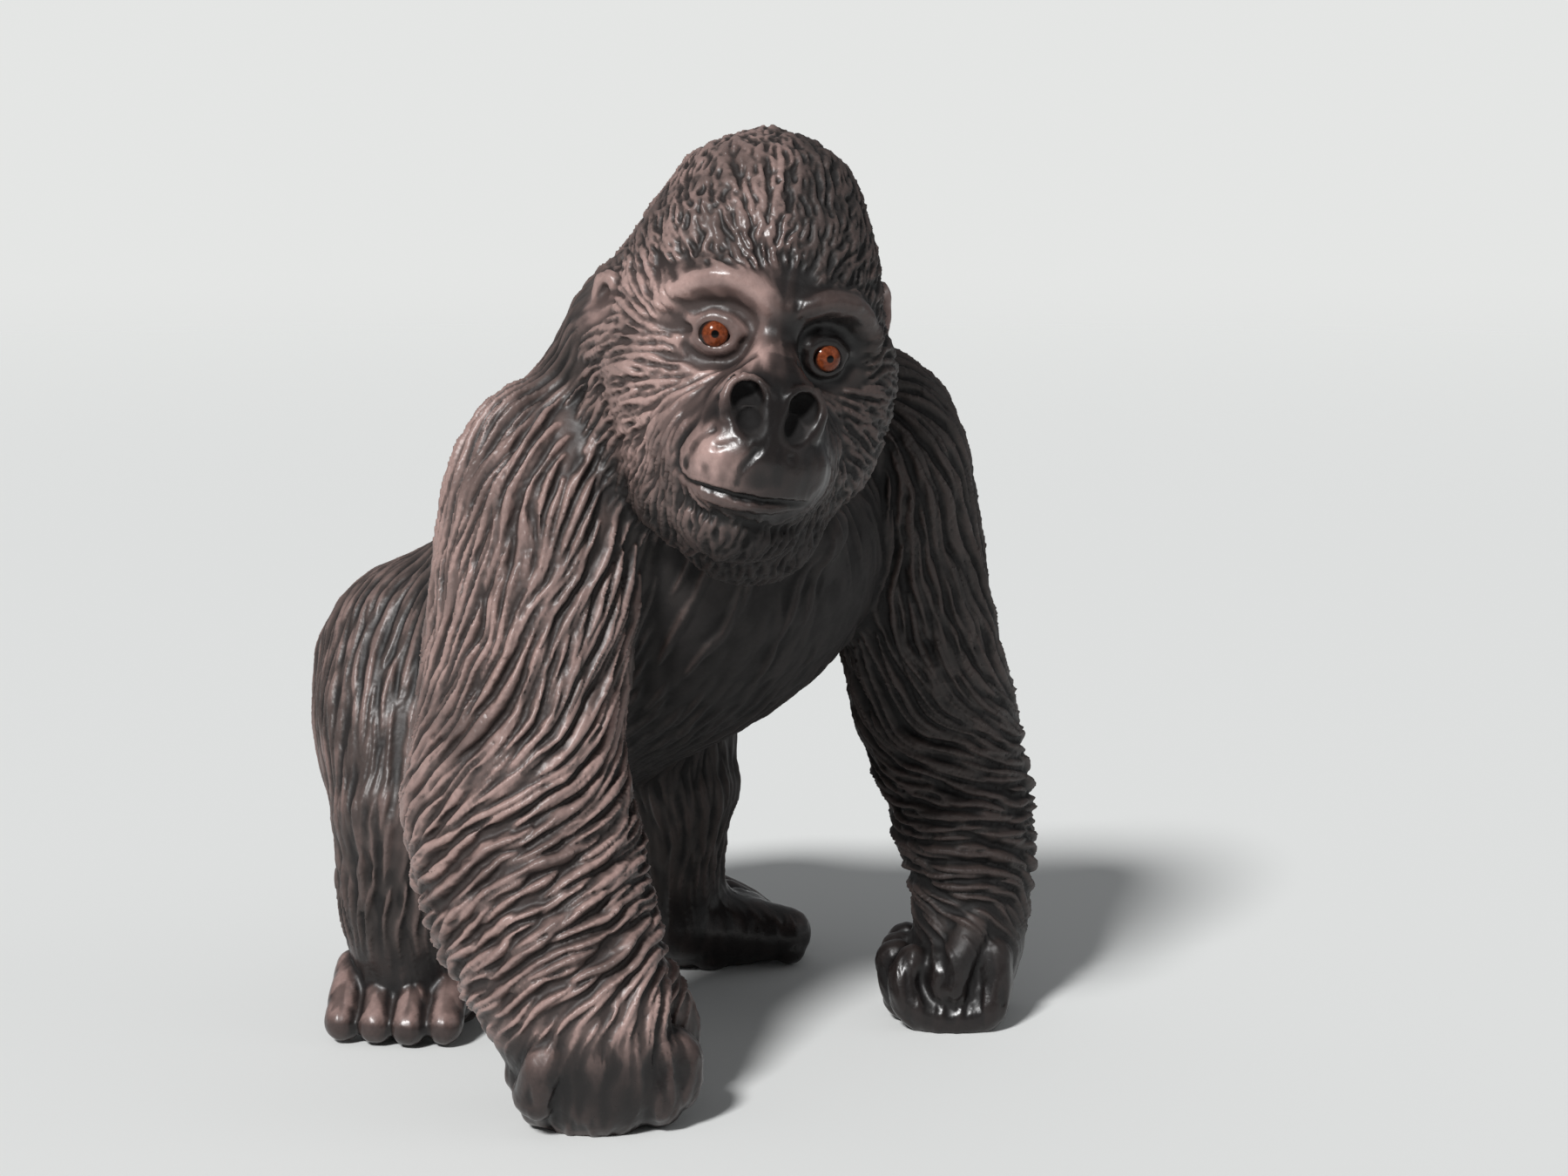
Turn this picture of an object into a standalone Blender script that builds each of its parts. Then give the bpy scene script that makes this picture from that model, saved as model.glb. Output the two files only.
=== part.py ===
"""Gorilla figurine, moulded in one piece, walking on the knuckles of both hands.

The figure faces -Y, its left side is +X, and it stands on the floor at Z = 0.
Each mass of the body is a loft of oval sections. The masses are fused into one
skin, its creases are filled, the features of the face are pressed in, the coat is
combed into ridges, and the soles are cut flat. Every place and size is in
millimetres, and the finished mesh is scaled to metres.
"""

import math

import bmesh
import bpy
import numpy as np
from mathutils import Matrix, Vector

MM = 0.001

# Body, as stations along each mass: x, y, z, half width, half depth
SPINE = (
    (0.0, 33.3, 25.0, 0.5, 0.5),
    (0.0, 32.2, 25.4, 6.5, 5.6),
    (0.0, 29.2, 26.5, 12.4, 9.8),
    (0.0, 23.5, 28.8, 16.2, 12.6),
    (0.0, 14.0, 33.6, 16.5, 13.4),
    (0.0, 4.0, 39.4, 17.0, 14.2),
    (-0.3, -4.0, 42.8, 16.0, 13.0),
    (-0.5, -9.5, 44.2, 13.2, 10.8),
    (-0.5, -13.5, 45.0, 9.0, 7.4),
    (-0.5, -15.8, 45.4, 3.6, 3.0),
)
NECK = (
    (0.0, 2.0, 47.5, 15.0, 10.0),
    (-3.8, -5.0, 52.0, 14.0, 10.5),
    (-6.8, -10.0, 58.0, 10.4, 10.2),
)
NAPE = (
    (-5.4, -7.5, 65.0, 6.0, 5.5),
    (-3.2, -2.0, 59.5, 8.5, 7.0),
    (-1.0, 7.5, 47.0, 10.0, 6.5),
)

# Right arm
RIGHT_UPPER_ARM = (
    (-12.0, -4.0, 51.5, 7.0, 7.5),
    (-15.6, -4.5, 49.5, 8.0, 8.6),
    (-17.9, -4.7, 43.0, 7.8, 8.2),
    (-19.9, -5.0, 35.5, 7.4, 7.8),
    (-21.3, -5.2, 26.5, 7.7, 8.0),
)
RIGHT_FOREARM = (
    (-21.4, -5.4, 25.5, 8.4, 7.0),
    (-21.4, -7.6, 19.5, 8.4, 6.6),
    (-20.6, -10.2, 12.5, 7.6, 5.7),
    (-19.4, -12.0, 7.0, 6.6, 5.1),
    (-18.6, -12.4, 3.8, 6.2, 4.9),
)
RIGHT_THUMB = (
    (-14.0, -11.6, 11.5, 2.1, 2.1),
    (-11.2, -12.0, 7.4, 1.9, 1.9),
    (-10.3, -12.1, 4.4, 1.6, 1.6),
)
RIGHT_OUTER_FINGER = (
    (-22.2, -13.2, 8.5, 1.9, 1.9),
    (-24.4, -13.0, 6.0, 1.7, 1.7),
    (-24.2, -11.8, 3.4, 1.9, 1.9),
)
RIGHT_PALM = ((-18.5, -12.6, 4.4), (6.3, 4.4, 4.2))
RIGHT_KNUCKLES = (-18.4, -12.3, 3.0)

# Left arm
LEFT_UPPER_ARM = (
    (12.0, -4.5, 51.2, 7.2, 7.5),
    (14.9, -5.2, 49.6, 7.6, 8.2),
    (17.7, -5.2, 42.0, 6.6, 7.8),
    (20.5, -5.5, 34.0, 5.7, 7.2),
    (23.1, -5.2, 26.5, 6.1, 7.0),
)
LEFT_FOREARM = (
    (23.9, -5.2, 25.0, 7.0, 6.2),
    (25.1, -6.4, 18.5, 6.9, 5.6),
    (25.4, -7.5, 11.5, 6.3, 5.0),
    (24.5, -8.2, 6.5, 5.9, 4.8),
    (23.3, -8.2, 3.8, 5.5, 4.8),
)
LEFT_THUMB = (
    (21.8, -10.0, 10.5, 1.9, 1.9),
    (20.4, -11.4, 7.4, 1.8, 1.8),
    (20.1, -11.8, 5.0, 1.6, 1.6),
)
LEFT_INDEX_FINGER = (
    (22.5, -11.4, 2.3, 1.6, 1.6),
    (19.2, -11.0, 2.3, 1.6, 1.6),
    (17.0, -9.6, 3.6, 1.5, 1.5),
    (17.0, -8.9, 5.4, 1.4, 1.4),
    (18.4, -9.4, 6.0, 1.3, 1.3),
)
LEFT_PALM = ((23.0, -9.2, 4.0), (4.9, 4.2, 3.8))
LEFT_KNUCKLES = (23.1, -9.1, 3.0)

# Both hands: the fingers curl back under the palm
FINGER_RADIUS = 1.8
FINGER_PITCH = 3.1
FINGER_CURL = ((-1.6, 3.0), (-1.8, -0.6), (1.6, -1.4), (4.8, -1.0), (5.6, 2.2))
HAND_TURN = 40.0

# Right leg
RIGHT_THIGH = (
    (-9.2, 23.3, 29.4, 10.6, 11.0),
    (-13.0, 20.3, 25.0, 9.2, 9.3),
    (-16.6, 17.0, 19.5, 6.4, 6.4),
)
RIGHT_SHIN = (
    (-16.7, 17.0, 18.5, 6.0, 6.0),
    (-16.5, 18.3, 12.0, 5.3, 5.1),
    (-15.2, 19.3, 6.5, 5.0, 4.6),
)
RIGHT_SOLE = (
    (-9.1, 24.9, 2.8, 3.6, 3.2),
    (-13.1, 20.9, 3.2, 4.9, 3.6),
    (-16.1, 17.7, 2.8, 5.4, 3.2),
)
RIGHT_INSTEP = (
    (-13.6, 20.6, 5.0, 3.6, 4.4),
    (-16.2, 17.6, 4.0, 2.8, 5.4),
)
RIGHT_TOES = (-16.4, 17.4, 2.0)
RIGHT_SPLAY = 45.0

# Left leg
LEFT_THIGH = (
    (9.0, 23.0, 28.5, 10.6, 10.8),
    (11.2, 20.5, 24.0, 8.6, 9.0),
    (12.4, 17.6, 17.5, 5.6, 6.0),
)
LEFT_SHIN = (
    (12.4, 17.8, 17.0, 5.4, 5.6),
    (12.8, 18.8, 11.5, 4.7, 4.9),
    (13.8, 19.4, 7.0, 4.5, 4.5),
)
LEFT_SOLE = (
    (9.0, 25.0, 2.8, 3.6, 3.2),
    (14.0, 21.0, 3.4, 4.6, 3.8),
    (20.2, 17.6, 3.0, 4.8, 3.4),
)
LEFT_INSTEP = (
    (13.0, 18.8, 4.4, 3.4, 3.4),
    (18.2, 16.0, 3.6, 3.1, 2.9),
    (22.4, 14.0, 2.8, 2.5, 2.4),
)
LEFT_TOES = (21.0, 18.0, 1.9)
LEFT_SPLAY = 60.0

# Both feet: four toes in a row and a great toe that stands apart
TOE_RADIUS = 1.6
TOE_PITCH = 2.9
TOE_PATH = ((-1.0, 3.2), (1.8, 1.6), (3.9, -0.2))
TOE_SETBACK = 0.5
GREAT_TOE_RADIUS = 2.1
GREAT_TOE_ROOT = (-3.4, -4.0)
GREAT_TOE_LENGTH = 6.0
GREAT_TOE_ANGLE = 38.0

# Head, in its own axes: x to its left, y back, z up from the line of the eyes
HEAD_CENTRE = (-7.3, -17.0, 61.0)
HEAD_TURN = 28.0
HEAD_LEAN = 3.0
FACE_LEAN = 10.0
SKULL = (
    (0.0, -3.2, -13.2, 5.6, 5.2),
    (0.0, -2.2, -10.8, 8.8, 7.4),
    (0.0, -0.6, -7.4, 10.6, 8.6),
    (0.0, 0.6, -3.0, 11.4, 8.9),
    (0.0, 1.4, 0.6, 10.6, 8.9),
    (0.3, 1.4, 4.5, 9.7, 10.0),
    (0.8, 2.3, 7.6, 8.7, 9.5),
    (1.2, 3.0, 10.3, 7.4, 8.2),
    (1.4, 3.6, 12.6, 6.1, 6.7),
    (1.5, 3.9, 14.2, 4.3, 4.8),
    (1.5, 4.0, 15.2, 2.3, 2.6),
    (1.5, 4.0, 15.5, 0.6, 0.6),
)
MUZZLE = (
    (0.0, -4.0, -7.4, 7.6, 6.6),
    (0.0, -8.5, -8.0, 6.8, 5.8),
    (0.0, -10.8, -8.4, 5.6, 4.7),
)
CHIN = (
    (0.0, -2.0, -11.0, 7.5, 5.5),
    (0.0, -6.5, -11.8, 6.4, 4.8),
    (0.0, -8.8, -12.4, 4.6, 3.4),
)
NOSE_BRIDGE = (
    (0.0, -7.6, 2.6, 2.3, 1.5),
    (0.0, -9.3, -0.6, 2.3, 1.7),
    (0.0, -11.3, -2.8, 3.0, 2.0),
    (0.0, -12.3, -4.6, 4.0, 2.5),
    (0.0, -12.6, -6.0, 3.8, 2.3),
)
BROW = (
    (-7.8, -6.2, 1.6, 0.8, 1.0),
    (-6.4, -8.0, 3.4, 1.1, 1.3),
    (-3.8, -9.2, 4.2, 1.2, 1.4),
    (-1.6, -9.2, 3.5, 1.1, 1.2),
    (0.0, -9.0, 3.0, 1.0, 1.1),
    (1.6, -9.2, 3.5, 1.1, 1.2),
    (3.8, -9.2, 4.2, 1.2, 1.4),
    (6.4, -8.0, 3.4, 1.1, 1.3),
    (7.8, -6.2, 1.6, 0.8, 1.0),
)
EYE_SPREAD = 4.2
EYE_DEPTH = -8.9
EYE_RADIUS = 1.35
EYE_SOCKET = (3.2, 2.2)
NOSTRIL = (1.95, -14.1, -4.9)
NOSTRIL_OPENING = (1.35, 1.95)
NOSTRIL_RIM = 0.6
EAR = (9.9, 3.0, 2.6)
EAR_OPENING = (1.1, 1.9)
EAR_RIM = 0.62
MOUTH = (
    (-6.0, -9.9, -9.2),
    (-4.6, -12.0, -10.1),
    (-2.4, -13.9, -10.6),
    (0.0, -14.5, -10.7),
    (2.4, -13.9, -10.6),
    (4.6, -12.0, -10.1),
    (6.0, -9.9, -9.2),
)
MOUTH_GROOVE = (0.9, 0.9)

# Coat: ridges round a limb, their height, the thickness under them, and the shares of the limb where they begin and end
UPPER_ARM_COAT = (14, 0.7, 0.45, 0.1, 0.97)
FOREARM_COAT = (5, 0.75, 0.45, -0.15, 0.85)
SHIN_COAT = (9, 0.4, 0.3, -0.1, 0.75)
CREST_COAT = (22, 0.35, 0.35, 0.6, 1.1)

# Coat: how far the ridges wind round a limb, as shares of its length and degrees
UPPER_ARM_WINDING = ((0.0, 4.0), (0.55, 8.0), (0.8, 24.0), (1.05, 50.0))
FOREARM_WINDING = ((-0.15, 58.0), (0.1, 68.0), (0.6, 72.0), (0.8, 56.0), (0.95, 25.0))
SHIN_WINDING = ((0.0, 12.0), (1.0, 4.0))
CREST_WINDING = ((0.0, 0.0), (1.0, 0.0))
COAT_EDGE = 0.1
COAT_REACH = (1.1, 1.35)

# Skin
BODY_VOXEL = 0.7
DETAIL_VOXEL = 0.42
CREASE_PASSES = 24
TRIANGLES = 11500


def spline(rows, steps):
    """Catmull-Rom samples through rows of numbers, with steps samples between two rows."""
    rows = np.array(rows, float)
    ends = np.vstack([2 * rows[0] - rows[1], rows, 2 * rows[-1] - rows[-2]])
    out = []
    for before, start, end, after in zip(ends, ends[1:], ends[2:], ends[3:]):
        for step in range(steps):
            t = step / steps
            out.append(
                0.5 * (2 * start + (end - before) * t)
                + 0.5 * (2 * before - 5 * start + 4 * end - after) * t**2
                + 0.5 * (3 * start - before - 3 * end + after) * t**3
            )
    out.append(rows[-1])
    return np.array(out)


def loft(stations, across=(1, 0, 0), sides=24, steps=6, squareness=0.0, cap_rings=4):
    """A closed mass with oval sections and domed ends.

    Each station is (x, y, z, half width, half depth). The width runs along the
    direction across, as near as the path allows. Squareness 0 gives an oval, and
    towards 1 the section fills its corners.
    """
    samples = spline(stations, steps)
    centres, halves = samples[:, :3], samples[:, 3:]
    tangents = np.gradient(centres, axis=0)
    tangents /= np.linalg.norm(tangents, axis=1)[:, None]
    rings = []
    for angle in np.linspace(math.pi / 2, 0, cap_rings, endpoint=False)[1:]:
        dome = halves[0].min() * math.sin(angle)
        rings.append((centres[0] - tangents[0] * dome, tangents[0], halves[0] * math.cos(angle)))
    rings += list(zip(centres, tangents, halves))
    for angle in np.linspace(0, math.pi / 2, cap_rings, endpoint=False)[1:]:
        dome = halves[-1].min() * math.sin(angle)
        rings.append((centres[-1] + tangents[-1] * dome, tangents[-1], halves[-1] * math.cos(angle)))
    mass = bmesh.new()
    loops = []
    for centre, tangent, (half_width, half_depth) in rings:
        depth_axis = np.cross(tangent, across)
        depth_axis /= np.linalg.norm(depth_axis)
        width_axis = np.cross(depth_axis, tangent)
        loop = []
        for turn in np.linspace(0, 2 * math.pi, sides, endpoint=False):
            wide = math.copysign(abs(math.cos(turn)) ** (1 - squareness), math.cos(turn))
            deep = math.copysign(abs(math.sin(turn)) ** (1 - squareness), math.sin(turn))
            loop.append(mass.verts.new(centre + width_axis * half_width * wide + depth_axis * half_depth * deep))
        loops.append(loop)
    for lower, upper in zip(loops, loops[1:]):
        for i in range(sides):
            j = (i + 1) % sides
            mass.faces.new((lower[i], lower[j], upper[j], upper[i]))
    mass.faces.new(loops[0])
    mass.faces.new(loops[-1])
    bmesh.ops.recalc_face_normals(mass, faces=mass.faces)
    return mass


def rod(points, radius, across=(1, 0, 0)):
    """A round mass of one radius through the points."""
    return loft([(*point, radius, radius) for point in points], across=across, sides=14, steps=4)


def ball(centre, radii):
    """An ellipsoid."""
    mass = bmesh.new()
    place = Matrix.Translation(centre) @ Matrix.Diagonal((*radii, 1))
    bmesh.ops.create_icosphere(mass, subdivisions=3, radius=1, matrix=place)
    return mass


def ring(centre, radii, thickness, facing):
    """A rounded oval rim, with its hole along the direction facing."""
    turn = Vector(facing).to_track_quat("Z", "Y").to_matrix()
    mass = bmesh.new()
    around, section = 20, 10
    loops = []
    for a in np.linspace(0, 2 * math.pi, around, endpoint=False):
        loop = []
        for b in np.linspace(0, 2 * math.pi, section, endpoint=False):
            reach = thickness * math.cos(b)
            flat = Vector(((radii[0] + reach) * math.cos(a), (radii[1] + reach) * math.sin(a), thickness * math.sin(b)))
            loop.append(mass.verts.new(Vector(centre) + turn @ flat))
        loops.append(loop)
    for i in range(around):
        here, there = loops[i], loops[(i + 1) % around]
        for k in range(section):
            m = (k + 1) % section
            mass.faces.new((here[k], here[m], there[m], there[k]))
    bmesh.ops.recalc_face_normals(mass, faces=mass.faces)
    return mass


def moved(masses, matrix):
    """The masses, carried by the matrix."""
    for mass in masses:
        mass.transform(matrix)
    return masses


def head_frame():
    """The matrix from the head's own axes to the figure's."""
    turn = Matrix.Rotation(-math.radians(HEAD_TURN), 4, "Z")
    lean = Matrix.Rotation(math.radians(HEAD_LEAN), 4, "Y")
    return Matrix.Translation(HEAD_CENTRE) @ turn @ lean


def face_frame():
    """The head's axes with the further lean of the face."""
    return head_frame() @ Matrix.Rotation(math.radians(FACE_LEAN), 4, "Y")


def hand_across(side):
    """The direction across a hand, from its little finger or thumb towards +X."""
    turn = math.radians(HAND_TURN)
    return Vector((math.cos(turn), side * math.sin(turn), 0))


def hand(front, side):
    """Four fingers rolled back under the palm."""
    across = hand_across(side)
    back = Vector((-across.y, across.x, 0))
    masses = []
    for place in (-1.5, -0.5, 0.5, 1.5):
        base = Vector(front) + across * place * FINGER_PITCH
        curl = [base + back * reach + Vector((0, 0, rise)) for reach, rise in FINGER_CURL]
        masses.append(rod(curl, FINGER_RADIUS, across=tuple(across)))
    return masses


def foot(toes, splay, side):
    """Four toes in a row and the great toe, which stands apart on the inner side."""
    angle = math.radians(splay)
    forward = Vector((side * math.sin(angle), -math.cos(angle), 0))
    outward = Vector((side * math.cos(angle), math.sin(angle), 0))
    masses = []
    for place in (-1, 0, 1, 2):
        base = Vector(toes) + outward * (place - 0.2) * TOE_PITCH - forward * abs(place) * TOE_SETBACK
        path = [base + forward * reach + Vector((0, 0, rise)) for reach, rise in TOE_PATH]
        masses.append(rod(path, TOE_RADIUS, across=tuple(outward)))
    inward = Matrix.Rotation(side * math.radians(GREAT_TOE_ANGLE), 3, "Z") @ forward
    base = Vector(toes) + outward * GREAT_TOE_ROOT[0] + forward * GREAT_TOE_ROOT[1]
    path = [base, base + inward * GREAT_TOE_LENGTH / 2, base + inward * GREAT_TOE_LENGTH]
    masses.append(rod(path, GREAT_TOE_RADIUS, across=tuple(outward)))
    return masses


def joined(masses):
    """One mesh that holds all the closed masses, still overlapping."""
    whole = bpy.data.meshes.new("masses")
    target = bmesh.new()
    for mass in masses:
        scratch = bpy.data.meshes.new("mass")
        mass.to_mesh(scratch)
        target.from_mesh(scratch)
        bpy.data.meshes.remove(scratch)
        mass.free()
    target.to_mesh(whole)
    target.free()
    return whole


def modified(mesh, add_modifiers):
    """A new mesh: this one with the modifiers that add_modifiers gives it applied."""
    carrier = bpy.data.objects.new("carrier", mesh)
    bpy.context.scene.collection.objects.link(carrier)
    add_modifiers(carrier.modifiers)
    graph = bpy.context.evaluated_depsgraph_get()
    result = bpy.data.meshes.new_from_object(carrier.evaluated_get(graph))
    bpy.data.objects.remove(carrier)
    return result


def fused(mesh, voxel, smoothing):
    """The outer skin of overlapping closed masses, as one surface."""

    def add(modifiers):
        remesh = modifiers.new("skin", "REMESH")
        remesh.mode = "VOXEL"
        remesh.voxel_size = voxel
        smooth = modifiers.new("even", "SMOOTH")
        smooth.factor = 0.5
        smooth.iterations = smoothing

    return modified(mesh, add)


def points_of(mesh):
    """The mesh's vertex positions as an array of rows."""
    points = np.empty(len(mesh.vertices) * 3)
    mesh.vertices.foreach_get("co", points)
    return points.reshape(-1, 3)


def normals_of(mesh):
    """The mesh's vertex normals as an array of rows."""
    normals = np.empty(len(mesh.vertices) * 3)
    mesh.vertex_normals.foreach_get("vector", normals)
    return normals.reshape(-1, 3)


def set_points(mesh, points):
    """Moves the mesh's vertices to these positions."""
    mesh.vertices.foreach_set("co", points.ravel())
    mesh.update()


def fill_creases(mesh, passes):
    """Raises only the valleys between masses, as clay pressed into a joint does."""
    ends = np.empty(len(mesh.edges) * 2, int)
    mesh.edges.foreach_get("vertices", ends)
    one, other = ends.reshape(-1, 2).T
    count = np.bincount(ends, minlength=len(mesh.vertices))[:, None]
    for _ in range(passes):
        points = points_of(mesh)
        normals = normals_of(mesh)
        around = np.empty_like(points)
        for axis in range(3):
            totals = np.bincount(one, points[other, axis], len(points))
            totals += np.bincount(other, points[one, axis], len(points))
            around[:, axis] = totals
        rise = ((around / count - points) * normals).sum(1).clip(min=0)
        set_points(mesh, points + normals * rise[:, None])


def press(mesh, path, radius, depth):
    """Presses a rounded groove into the skin along a path, or a dent when the path is one point."""
    points = points_of(mesh)
    path = np.array(spline(path, 8) if len(path) > 1 else path, float)
    near = np.full(len(points), np.inf)
    for spot in path:
        near = np.minimum(near, np.linalg.norm(points - spot, axis=1))
    fall = (1 - (near / radius) ** 2).clip(min=0) ** 2
    set_points(mesh, points - normals_of(mesh) * (depth * fall)[:, None])


def placed(stations, matrix):
    """The stations, with their places carried by the matrix."""
    return [(*(matrix @ Vector(station[:3])), *station[3:]) for station in stations]


def comb(mesh, stations, coat, winding, side=1):
    """Thickens the skin of a limb and raises wavy ridges of hair on it.

    The coat is the number of ridges round the limb, their height, the thickness under
    them, and the shares of the limb's length between which it lies. The winding is rows
    of a share of the length and the angle at which the ridges turn round the limb.
    """
    count, height, thickness, start, end = coat
    points = points_of(mesh)
    samples = spline(stations, 6)
    radius = samples[:, 3:].mean()
    along = np.concatenate([[0], np.linalg.norm(np.diff(samples[:, :3], axis=0), axis=1).cumsum()])
    nearest = np.zeros(len(points), int)
    best = np.full(len(points), np.inf)
    for index, sample in enumerate(samples):
        distance = np.linalg.norm(points - sample[:3], axis=1) / sample[3:].mean()
        closer = distance < best
        nearest[closer] = index
        best[closer] = distance[closer]
    axis = samples[-1, :3] - samples[0, :3]
    axis /= np.linalg.norm(axis)
    front = np.cross(axis, (1, 0, 0))
    front /= np.linalg.norm(front)
    out = points - samples[nearest, :3]
    share = (out @ axis + along[nearest]) / along[-1]
    turn = np.arctan2(out @ np.cross(front, axis), out @ front)
    places, angles = np.array(winding).T
    shares = np.linspace(places[0], places[-1], 200)
    slopes = np.tan(np.radians(np.interp(shares, places, angles)))
    wound = np.cumsum(slopes) * (shares[1] - shares[0]) * along[-1] / radius
    turns = count * (turn + side * np.interp(share, shares, wound)) / (2 * math.pi)
    waver = 0.3 * np.sin(share * 9 + 2 * turn) + 0.15 * np.sin(share * 17 - 3 * turn + 1)
    crest = 1 - 2 * np.abs(2 * ((turns + waver) % 1) - 1) ** 2
    fade = ((share - start) / COAT_EDGE).clip(0, 1) * ((end - share) / COAT_EDGE).clip(0, 1)
    fade *= ((COAT_REACH[1] - best) / (COAT_REACH[1] - COAT_REACH[0])).clip(0, 1)
    rise = (thickness + 0.5 * height * crest) * fade
    set_points(mesh, points + normals_of(mesh) * rise[:, None])


def cut_at_floor(mesh):
    """The mesh with all that lies below Z = 0 cut away and the soles closed flat."""
    solid = bmesh.new()
    solid.from_mesh(mesh)
    parts = solid.verts[:] + solid.edges[:] + solid.faces[:]
    bmesh.ops.bisect_plane(solid, geom=parts, dist=1e-4, plane_co=(0, 0, 0), plane_no=(0, 0, -1), clear_outer=True)
    rims = [edge for edge in solid.edges if edge.is_boundary]
    bmesh.ops.holes_fill(solid, edges=rims)
    bmesh.ops.recalc_face_normals(solid, faces=solid.faces)
    bmesh.ops.triangulate(solid, faces=solid.faces)
    solid.to_mesh(mesh)
    solid.free()


def clear_scene():
    """Removes what the scene already holds."""
    for thing in list(bpy.data.objects):
        bpy.data.objects.remove(thing)


def plastic():
    """Matt dark brown plastic."""
    material = bpy.data.materials.new("dark_brown_plastic")
    material.use_nodes = True
    shader = material.node_tree.nodes["Principled BSDF"]
    shader.inputs["Base Color"].default_value = (0.075, 0.055, 0.048, 1)
    shader.inputs["Roughness"].default_value = 0.5
    return material


def thinned(mesh, triangles):
    """The mesh with its flattest faces merged until it has about this many triangles."""

    def add(modifiers):
        fewer = modifiers.new("fewer", "DECIMATE")
        fewer.ratio = triangles / sum(len(face.vertices) - 2 for face in mesh.polygons)
        fewer.use_collapse_triangulate = True

    return modified(mesh, add)


def body_masses():
    """The masses whose joints are filled in and run into each other."""
    masses = [loft(SPINE), loft(NECK), loft(NAPE)]
    masses += [loft(RIGHT_UPPER_ARM), loft(LEFT_UPPER_ARM)]
    masses += [loft(RIGHT_FOREARM, across=hand_across(-1)), loft(LEFT_FOREARM, across=hand_across(1))]
    masses += [loft(RIGHT_THIGH), loft(RIGHT_SHIN), loft(LEFT_THIGH), loft(LEFT_SHIN)]
    masses += [loft(RIGHT_INSTEP, across=(0, 0, 1)), loft(LEFT_INSTEP, across=(0, 0, 1))]
    for sole, splay, side in ((RIGHT_SOLE, RIGHT_SPLAY, -1), (LEFT_SOLE, LEFT_SPLAY, 1)):
        angle = math.radians(splay)
        masses.append(loft(sole, across=(math.cos(angle), side * math.sin(angle), 0)))
    masses += moved([loft(SKULL, squareness=0.12)], head_frame())
    face = [loft(MUZZLE), loft(CHIN), loft(NOSE_BRIDGE), loft(BROW, across=(0, 0, 1))]
    return masses + moved(face, face_frame())


def detail_masses():
    """The masses that keep a crease round them."""
    masses = [loft(RIGHT_THUMB, sides=14), loft(LEFT_THUMB, sides=14)]
    masses += [loft(RIGHT_OUTER_FINGER, sides=14), loft(LEFT_INDEX_FINGER, sides=14)]
    masses += [ball(*RIGHT_PALM), ball(*LEFT_PALM)]
    masses += hand(RIGHT_KNUCKLES, -1) + hand(LEFT_KNUCKLES, 1)
    masses += foot(RIGHT_TOES, RIGHT_SPLAY, -1) + foot(LEFT_TOES, LEFT_SPLAY, 1)
    face = []
    ears = []
    for side in (-1, 1):
        face.append(ball((side * EYE_SPREAD, EYE_DEPTH + EYE_RADIUS, 0), (EYE_RADIUS, EYE_RADIUS, EYE_RADIUS)))
        rim = (side * NOSTRIL[0], NOSTRIL[1], NOSTRIL[2])
        face.append(ring(rim, NOSTRIL_OPENING, NOSTRIL_RIM, (side * 0.35, -1, 0.2)))
        ears.append(ring((side * EAR[0], EAR[1], EAR[2]), EAR_OPENING, EAR_RIM, (side, -0.5, 0)))
    return masses + moved(face, face_frame()) + moved(ears, head_frame())


def comb_coat(mesh):
    """Combs the arms, the shins and the crest."""
    comb(mesh, RIGHT_UPPER_ARM, UPPER_ARM_COAT, UPPER_ARM_WINDING, side=-1)
    comb(mesh, LEFT_UPPER_ARM, UPPER_ARM_COAT, UPPER_ARM_WINDING)
    comb(mesh, RIGHT_FOREARM, FOREARM_COAT, FOREARM_WINDING, side=-1)
    comb(mesh, LEFT_FOREARM, FOREARM_COAT, FOREARM_WINDING)
    comb(mesh, RIGHT_SHIN, SHIN_COAT, SHIN_WINDING, side=-1)
    comb(mesh, LEFT_SHIN, SHIN_COAT, SHIN_WINDING)
    comb(mesh, placed(SKULL, head_frame()), CREST_COAT, CREST_WINDING)


def main():
    clear_scene()
    skin = fused(joined(body_masses()), BODY_VOXEL, 4)
    fill_creases(skin, CREASE_PASSES)
    face = face_frame()
    for side in (-1, 1):
        press(skin, [face @ Vector((side * EYE_SPREAD, EYE_DEPTH, 0))], *EYE_SOCKET)
    carrier = bmesh.new()
    carrier.from_mesh(skin)
    skin = fused(joined([carrier] + detail_masses()), DETAIL_VOXEL, 2)
    press(skin, [face @ Vector(spot) for spot in MOUTH], *MOUTH_GROOVE)
    comb_coat(skin)
    skin = thinned(skin, TRIANGLES)
    cut_at_floor(skin)
    points = points_of(skin)
    middle = (points.min(0) + points.max(0)) / 2
    skin.transform(Matrix.Scale(MM, 4) @ Matrix.Translation((-middle[0], -middle[1], 0)))
    gorilla = bpy.data.objects.new("gorilla", skin)
    gorilla.data.materials.append(plastic())
    bpy.context.scene.collection.objects.link(gorilla)


main()
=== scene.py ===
"""Visual model of a gorilla figurine, moulded in dark plastic and painted by hand.

The figure is sculpted as one skin: oval lofts make the masses, which are fused and
their joints filled, then the face, hands and feet are laid on, and last the coat is
combed over it as overlapping locks. The whole is cast again as one fine surface and
cut into pieces that meet edge to edge. Sculpting is in millimetres, and the finished
pieces are in metres.
"""

from __future__ import annotations

import logging
import math
from dataclasses import dataclass, field
from enum import Enum
from typing import Callable, Sequence

import bmesh
import bpy
import numpy as np
from mathutils import Matrix, Vector

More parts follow.
